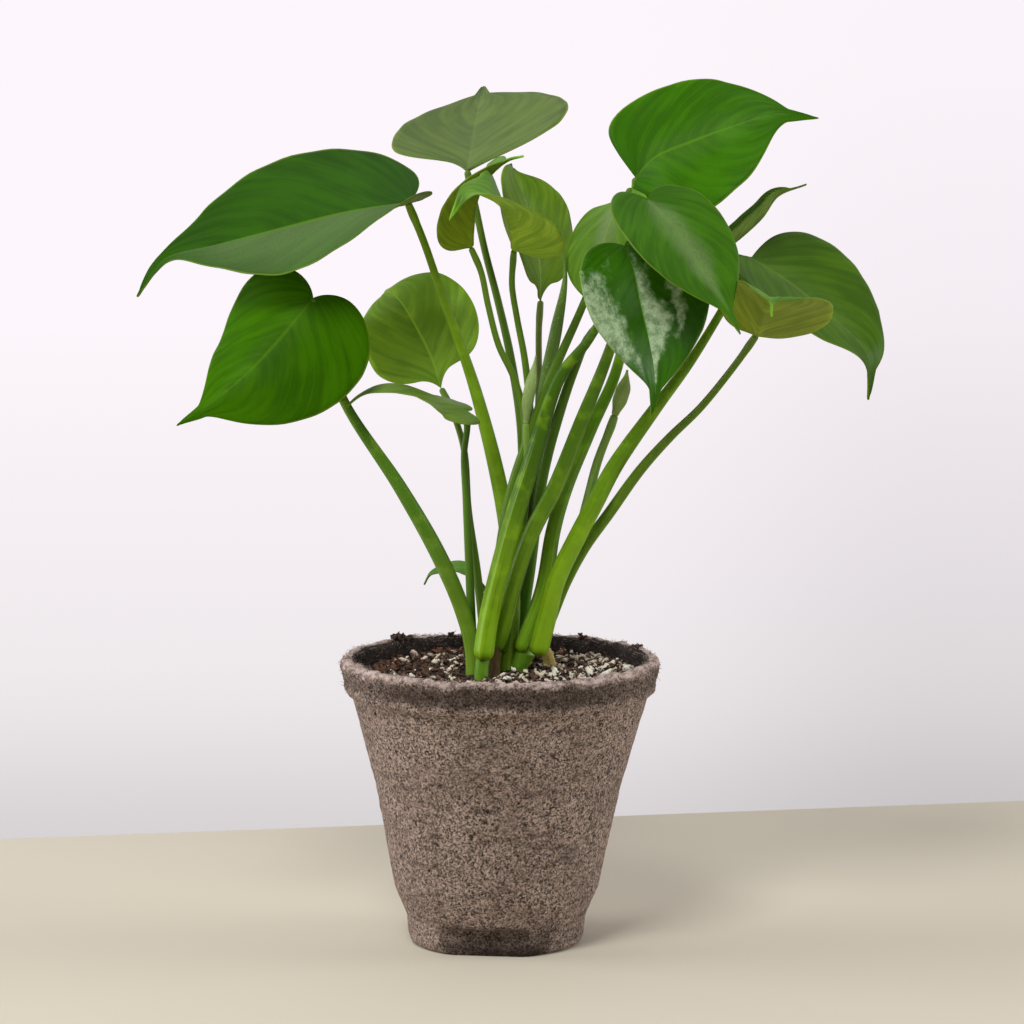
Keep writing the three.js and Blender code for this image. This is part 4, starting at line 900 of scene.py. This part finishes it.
def half_outline(length, blade, k, steps):
    """Four cubic Bezier arcs from the notch at the stalk: round the lobe's back, up its side to the widest
    place, down the long flank to where the drip tip starts, and on to its end."""
    h, lobe, widest, shoulder = blade["half"][k], blade["lobe"][k], blade["widest"][k], blade["shoulder"]
    full = widest + (DRIP_START - widest) * 0.6
    corners = np.array([
        [(0, 0), (-0.5 * lobe, 0.06), (-lobe, 0.2), (-lobe, 0.35)],
        [(-lobe, 0.35), (-lobe, 0.62), ((widest - 0.22) * length, 1), (widest * length, 1)],
        [(widest * length, 1), (full * length, 1), ((0.74 + 0.1 * shoulder) * length, shoulder),
         (DRIP_START * length, 0.09)],
        [(DRIP_START * length, 0.09), (0.9 * length, 0.064), (0.96 * length, 0.03), (length, 0)],
    ])
    knots = np.array(OUTLINE_STEPS)
    arc = np.clip(np.searchsorted(knots, steps, side="right") - 1, 0, 3)
    t = ((steps - knots[arc]) / np.diff(knots)[arc])[:, None]
    a, b, c, d = np.moveaxis(corners[arc], 1, 0)
    outline = a * (1 - t) ** 3 + 3 * b * t * (1 - t) ** 2 + 3 * c * t * t * (1 - t) + d * t ** 3
    return outline * [1, h]


def fold_at(angles, s):
    """A fold that goes from its middle to its base value by a square and from its middle to its tip value
    evenly."""
    base, middle, tip = angles
    share = np.where(s < 0.5, (1 - 2 * s) ** 2, 2 * np.clip(s, 0.5, 1) - 1)
    return np.radians(middle + (np.where(s < 0.5, base, tip) - middle) * share)


def blade_grids(blade, seed):
    """Top and underside of a blade and the strip that joins them at the margin. A point lies x along the
    midrib and y out from it. Across each half the section is a circular arc that starts at the fold. The fold
    itself is rounded by a running mean across the middle columns. Waves grow to the margin."""
    line, reach = smooth_curve(blade["midrib"])
    length = reach[-1]
    drip_step, last_step = OUTLINE_STEPS[-2:]
    steps = np.linspace(0, last_step, last_step * BLADE_ROWS + 1)
    outlines = [half_outline(length, blade, k, steps) for k in (0, 1)]
    middle = DRIP_START * length * (steps / drip_step) ** 1.7
    middle = np.where(steps < drip_step, middle, outlines[0][:, 0])
    columns = np.linspace(-1, 1, 2 * BLADE_COLUMNS + 1)
    out = np.sign(columns) * np.abs(columns) ** 1.35
    share = np.abs(out)[None]
    right_side = (columns < 0)[None]
    edge_x = np.where(right_side, outlines[1][:, :1], outlines[0][:, :1])
    edge_y = np.where(right_side, outlines[1][:, 1:], outlines[0][:, 1:])
    x = middle[:, None] + (edge_x - middle[:, None]) * share
    y = edge_y * share
    s = x / length
    at = np.clip(s, 0, 1)
    point, along = on_curve(line, reach, at * length)
    point = point + along * (np.minimum(s, 0) * length)[..., None]
    faces = np.array(blade["face"], float)
    facing = faces[0] + (faces[1] - faces[0]) * at[..., None]
    left = np.cross(facing, along)
    left /= np.linalg.norm(left, axis=-1, keepdims=True)
    up = np.cross(along, left)
    start = np.where(right_side, fold_at(blade["right"], s), fold_at(blade["left"], s))
    half = np.where(right_side, blade["half"][1], blade["half"][0])
    bend = np.radians(np.where(right_side, blade["turn"][1], blade["turn"][0])) / half + 1e-7
    end = start + bend * y
    across = (np.sin(end) - np.sin(start)) / bend
    rise = (np.cos(start) - np.cos(end)) / bend
    size = min(blade["half"])
    flat = np.stack([x, y * np.where(right_side, -1, 1), np.zeros_like(x)], -1)
    rise = rise + 0.02 * size * share ** 2 * noise(flat, 0.7 * size, seed) * (edge_y > 0.02 * size)
    puckers = smoothstep(4 * share) * np.sin(2 * np.pi * (7 * s - 2.9 * share)) * share ** 0.5
    rise = rise - 0.004 * size * puckers
    sign = np.where(right_side, -1.0, 1.0)
    place = point + left * (sign * across)[..., None] + up * rise[..., None]
    inner = slice(BLADE_COLUMNS - FOLD_REACH, BLADE_COLUMNS + FOLD_REACH + 1)
    for _ in range(FOLD_ROUNDS):
        wider = place[:, inner.start - 1:inner.stop + 1]
        place[:, inner] = 0.25 * wider[:, :-2] + 0.5 * wider[:, 1:-1] + 0.25 * wider[:, 2:]
    normal = up * np.cos(end)[..., None] - left * (sign * np.sin(end))[..., None]
    rib = np.exp(-(y / (1.1 - 0.6 * at)) ** 2) * (1 - 0.75 * at) * smoothstep(steps / 1.5)[:, None]
    thick = BLADE_THICKNESS / 2 * (1 - 0.45 * share ** 6)
    top = place + normal * (thick - 0.22 * rib)[..., None]
    under = place - normal * (thick + RIB_DEPTH * rib)[..., None]
    uv = np.stack([s, 0.5 + 0.5 * out[None] * np.ones_like(s)], -1)
    rim, rim_under, rim_uv = (np.concatenate([grid[:, 0], grid[::-1, -1]]) for grid in (top, under, uv))
    rim = np.stack([rim, rim_under])
    rim_uv = np.stack([rim_uv, rim_uv])
    rows = len(steps)
    for k in (0, rows - 1):
        top[k] = top[k, BLADE_COLUMNS]
        under[k] = under[k, BLADE_COLUMNS]
    rim[0, [0, -1]], rim[0, [rows - 1, rows]] = top[0, 0], top[-1, 0]
    rim[1, [0, -1]], rim[1, [rows - 1, rows]] = under[0, 0], under[-1, 0]
    return [(top + PLANT, uv, 0), (under + PLANT, uv, 1), (rim + PLANT, rim_uv, 0)]


def leaf_skin():
    """Group that reads a blade's UV map: the share along the midrib, and a number that goes from 0 at the
    right margin to 1 at the left one. The veins run out from the midrib and bend towards the tip: each keeps
    the same value of line, which is the share along less 0.42 times the share across to the power of 1.25.
    The mottling is noise drawn out along the veins. A painted grey sheen, a reflection of the pale
    surroundings, lies beside the midrib, on the left half alone where Sided is 1. Painted_reflection brings
    up painted broken
    reflections: a cloudy patch towards the right margin and two streaks on the left half. The margin is a
    thin pale line, and Lime colours the drip tip."""
    group, given, result = new_group("leaf_skin", ("Deep", "Pale", "Vein", "Rib"),
                                     ("Veins", "Midrib", "Painted_sheen", "Sided", "Painted_reflection", "Lime"))
    place = shader(group, "TexCoord", output="Object")
    blade = shader(group, "UVMap", uv_map="place")
    along, side, _ = split(blade)
    across = abs((side - 0.5) * 2.0)
    on_left = sums("GREATER_THAN", side, 0.5)
    wander = shader(group, "TexNoise", {"Vector": blade, "Scale": 5.0, "Detail": 2.0})
    line = along - across ** 1.25 * 0.42 + wander * 0.05

    def lines(count, low, high):
        """As many lines as count along the blade, from 0 beside each to 1 in its middle."""
        return spread(abs(sums("FRACT", line * count + 20.0) - 0.5), low, high)

    main, between = lines(7.0, 0.46, 0.5), lines(34.0, 0.3, 0.5)
    fine, coarse, cloud = grain(place, 0.55, 3, 0.7), grain(place, 30, 3, 0.5), grain(place, 2.6, 3, 0.6)
    combed = shader(group, "CombineXYZ", {0: line * 16.0, 1: across * 1.6, 2: side})
    streaks = shader(group, "TexNoise", {"Vector": combed, "Scale": 1.0, "Detail": 3.0})
    base = tint(spread(streaks * 0.48 + coarse * 0.4 + fine * 0.12, 0.38, 0.62), given["Deep"], given["Pale"])
    base = tint((main * 0.75 + between * 0.25) * given["Veins"], base, given["Vein"])

    # Painted grey sheen, the reflection of the pale surroundings, beside the midrib.
    painted_sheen_mask = spread(wander * 0.3 + across, given["Sided"] * on_left * 1.4 + 0.6, 0.15) * spread(along, 0.95, 0.6)
    painted_sheen_mask = painted_sheen_mask * sums("MAXIMUM", 1.0 - given["Sided"], on_left) * spread(fine, 0.3, 0.65, 0.55, 1.0)
    base = tint(painted_sheen_mask * given["Painted_sheen"], base, colour(126, 148, 96))

    # Painted broken reflections: a cloudy patch on the right half and two streaks on the left half.
    wavy = (wander - 0.5) * 0.4 + across
    start = (wander - 0.5) * 0.5 + along
    patch = spread(wavy, 0.3, 0.68) * spread(start, 0.0, 0.42) * spread(along, 0.86, 0.5)
    bulge = spread(abs(along - 0.52), 0.3, 0.04, 0.0, 0.18)
    inner = spread(wavy - bulge, 0.34, 0.02) * spread(along, 0.9, 0.76)
    outer = spread(abs(wavy - 0.54), 0.18, 0.0) * spread(along, 0.66, 0.44)
    stripes = sums("MAXIMUM", inner, outer) * spread(start, 0.02, 0.2)
    whole = stripes * on_left + patch * (1.0 - on_left)
    frayed = (cloud - 0.5) * 1.3 + whole + (fine - 0.5) * 0.4
    speckled = spread(fine, 0.34, 0.66, 0.7, 1.0) * spread(cloud, 0.36, 0.62, 0.6, 1.0)
    painted_reflection = spread(frayed, 0.16, 1.1) * speckled
    base = tint(painted_reflection * given["Painted_reflection"], base, colour(190, 214, 172))

    midrib = spread(along * 0.01 + across, 0.026, 0.01)
    base = tint(midrib * given["Midrib"], base, given["Rib"])
    base = tint(spread(across, 0.972, 0.992) * 0.42, base, colour(134, 160, 48))
    base = tint(spread(along, 0.84, 0.94) * given["Lime"], base, colour(124, 184, 40))
    base.into(result["Colour"])
    (fine - main * 0.35).into(result["Height"])
    return group


leaf_group = leaf_skin()


def leaf_values(skin, vein, veins, lime, midrib=0.0, painted_sheen=0.0, sided=0.0, painted_reflection=0.0):
    """One side's own values: its colour, darker and paler as mottling, the colour of its veins and how
    strongly they show, and the rest as BLADES has it."""
    red, green, blue = skin
    return {"Deep": (0.86 * red, 0.89 * green, 0.84 * blue), "Pale": (1.13 * red, 1.1 * green, 1.14 * blue),
            "Rib": (min(255, red + 44), min(255, green + 42), blue + 22), "Vein": vein, "Veins": veins,
            "Midrib": midrib, "Painted_sheen": painted_sheen, "Sided": sided, "Painted_reflection": painted_reflection, "Lime": lime}


for seed, (name, own) in enumerate(BLADES.items()):
    blade = {**MOST_BLADES, **own}
    red, green, blue = blade["top"]
    values = leaf_values(blade["top"], (red + 16, green + 18, blue + 6), 0.4, blade["lime"], blade["rib"],
                         blade["painted_sheen"], blade["sided"], blade["painted_reflection"])
    top = group_material(name + "_top", leaf_group, values, blade["rough"], 0.03,
                         Specular_IOR_Level=blade["gleam"])
    red, green, blue = blade["under"]
    values = leaf_values(blade["under"], (0.68 * red, 0.74 * green, 0.55 * blue), 0.65, blade["lime"])
    under = group_material(name + "_under", leaf_group, values, 0.55, 0.05, Specular_IOR_Level=0.15)
    add_piece(name + "_blade", blade_grids(blade, 40 + seed), name, [top, under])

# The rolled leaves: new blades still wound round themselves into a spindle, pale green, with the outer margin
# running slowly round them as a step.
ROLLED = {  # radius, route, colour, and how often the margin winds round it
    "leaf_17_spear": (2.2,
                      [(12.6, 12.5, 167), (15.5, 11, 192), (19.2, 9, 211), (22.3, 7, 230), (21.2, 6, 241)],
                      (96, 134, 44), 0.9),
    "leaf_18_rolled": (2.2, [(9, 0.5, 180), (9.5, -0.5, 187), (11, -1, 195), (12.3, -0.5, 203)],
                       (140, 166, 92), 0.5),
    "leaf_19_rolled": (2.7, [(39.5, 3, 182.5), (41, 2, 187), (42.5, 1, 192), (43.5, 0, 198)],
                       (136, 164, 78), 0.5),
}


def rolled_radius(radius, winds):
    """A spindle. Its radius falls by a sixth on the way round and steps back out at the margin."""
    def radius_at(t, turn):
        girth = radius * (0.5 + 0.5 * smoothstep(t / 0.35)) * (1 - 0.85 * smoothstep((t - 0.55) / 0.45))
        round_it = (turn / (2 * np.pi) + winds * t + 0.3) % 1
        return girth * (1.02 - 0.16 * round_it - 0.1 * smoothstep((round_it - 0.95) / 0.05))
    return radius_at


for name, (radius, route, skin, winds) in ROLLED.items():
    grid, uv = stem_surface(route, rows=60, columns=36, radius_at=rolled_radius(radius, winds))
    values = {"Foot": skin, "Top": skin, "Streak": tuple(0.75 * v for v in skin),
              "Blotch": tuple(1.1 * v for v in skin), "Runs": 2.0, "Margin": 0.0, "Speckle": 0.5}
    material = group_material(name + "_skin", stem_group, values, 0.42, 0.15)
    add_piece(name + "_roll", [(grid, uv, 0)], name, [material])

# The studio: a pale table top that ends behind the pot, a pale room, and soft lights from both sides, above
# and in front. The camera stands where the photograph was taken from. Lengths are in metres here, but for the
# table top's.
TABLE_TOP = [(-900, -1300, 0), (900, -1300, 0), (900, 371, 0), (-900, 37, 0)]
LIGHTS = {  # place, the point it shines at, width and power
    "soft_left": ((-1.4, 0.05, 0.45), (0, 0, 0.17), 0.8, 13),
    "soft_right": ((1.35, 0.0, 0.42), (0, 0, 0.17), 0.7, 9),
    "soft_top": ((-0.1, 0.3, 1.4), (0, 0, 0.2), 0.7, 2),
    "soft_front": ((-0.42, -1.05, 1.45), (0, 0, 0.12), 0.55, 18.5),
    "soft_gleam": ((0.4, -1.4, 0.85), (0.04, 0, 0.2), 0.8, 2.5),
}
CAMERA_PLACE = (0.0055, -1.5, 0.3508)
CAMERA_DOWN = 7.63  # degrees
CAMERA_LENS = 155
SENSOR_WIDTH = 36


def studio_floor():
    """A flat sheet under the pot, with a matt warm finish."""
    mesh = bpy.data.meshes.new("table_top")
    mesh.from_pydata(np.array(TABLE_TOP, float) / 1000, [], [(0, 1, 2, 3)])
    material, tree, bsdf = new_material("table_finish", 0.85)
    shade = grain(shader(tree, "TexCoord", output="Object"), 320, 2)
    tint(shade, colour(203, 195, 175), colour(214, 206, 188)).into(bsdf.inputs["Base Color"])
    mesh.materials.append(material)
    floor = bpy.data.objects.new("table_top", mesh)
    bpy.context.collection.objects.link(floor)


def studio_light(name, place, aim, size, power):
    """A square soft light at a place, turned to shine at a point."""
    light = bpy.data.lights.new(name, "AREA")
    light.size = size
    light.energy = power
    lamp = bpy.data.objects.new(name, light)
    lamp.location = place
    away = np.array(place, float) - np.array(aim, float)
    flat = math.hypot(away[0], away[1])
    lamp.rotation_euler = (math.atan2(flat, away[2]), 0, math.atan2(away[0], -away[1]))
    bpy.context.collection.objects.link(lamp)


def studio_room():
    """A pale wall that fades downwards, as the camera sees it. As a light it is bright behind the plant,
    where the wall is, and dim in front."""
    world = bpy.data.worlds.new("studio")
    world.use_nodes = True
    room = world.node_tree
    right, back, height = split(shader(room, "TexCoord", output="Generated"))
    wall = tint(spread(height, -0.21, -0.165), colour(214, 209, 210), colour(238, 233, 235))
    wall = tint(ramp(height, -0.17, -0.09), wall, colour(253, 246, 252))
    shade = spread(right, 0.01, 0.1) * ramp(height, -0.03, -0.19, 0.03, 0.22)
    wall = tint(shade, wall, colour(110, 107, 108))
    seen = shader(room, "LightPath", output="Is Camera Ray")
    glow = ramp(back, -0.2, 0.7, 0.06, 0.6)
    background = room.nodes["Background"]
    wall.into(background.inputs["Color"])
    shader(room, "Mix", {0: seen, 2: glow, 3: 1.0}, data_type="FLOAT").into(background.inputs["Strength"])
    bpy.context.scene.world = world


studio_floor()
studio_room()
for name, (place, aim, size, power) in LIGHTS.items():
    studio_light(name, place, aim, size, power)

lens = bpy.data.cameras.new("photo_camera")
lens.lens = CAMERA_LENS
lens.sensor_width = SENSOR_WIDTH
camera = bpy.data.objects.new("photo_camera", lens)
camera.location = CAMERA_PLACE
camera.rotation_euler = (math.radians(90 - CAMERA_DOWN), 0, 0)
bpy.context.collection.objects.link(camera)
bpy.context.scene.camera = camera
bpy.context.scene.view_settings.view_transform = "Standard"
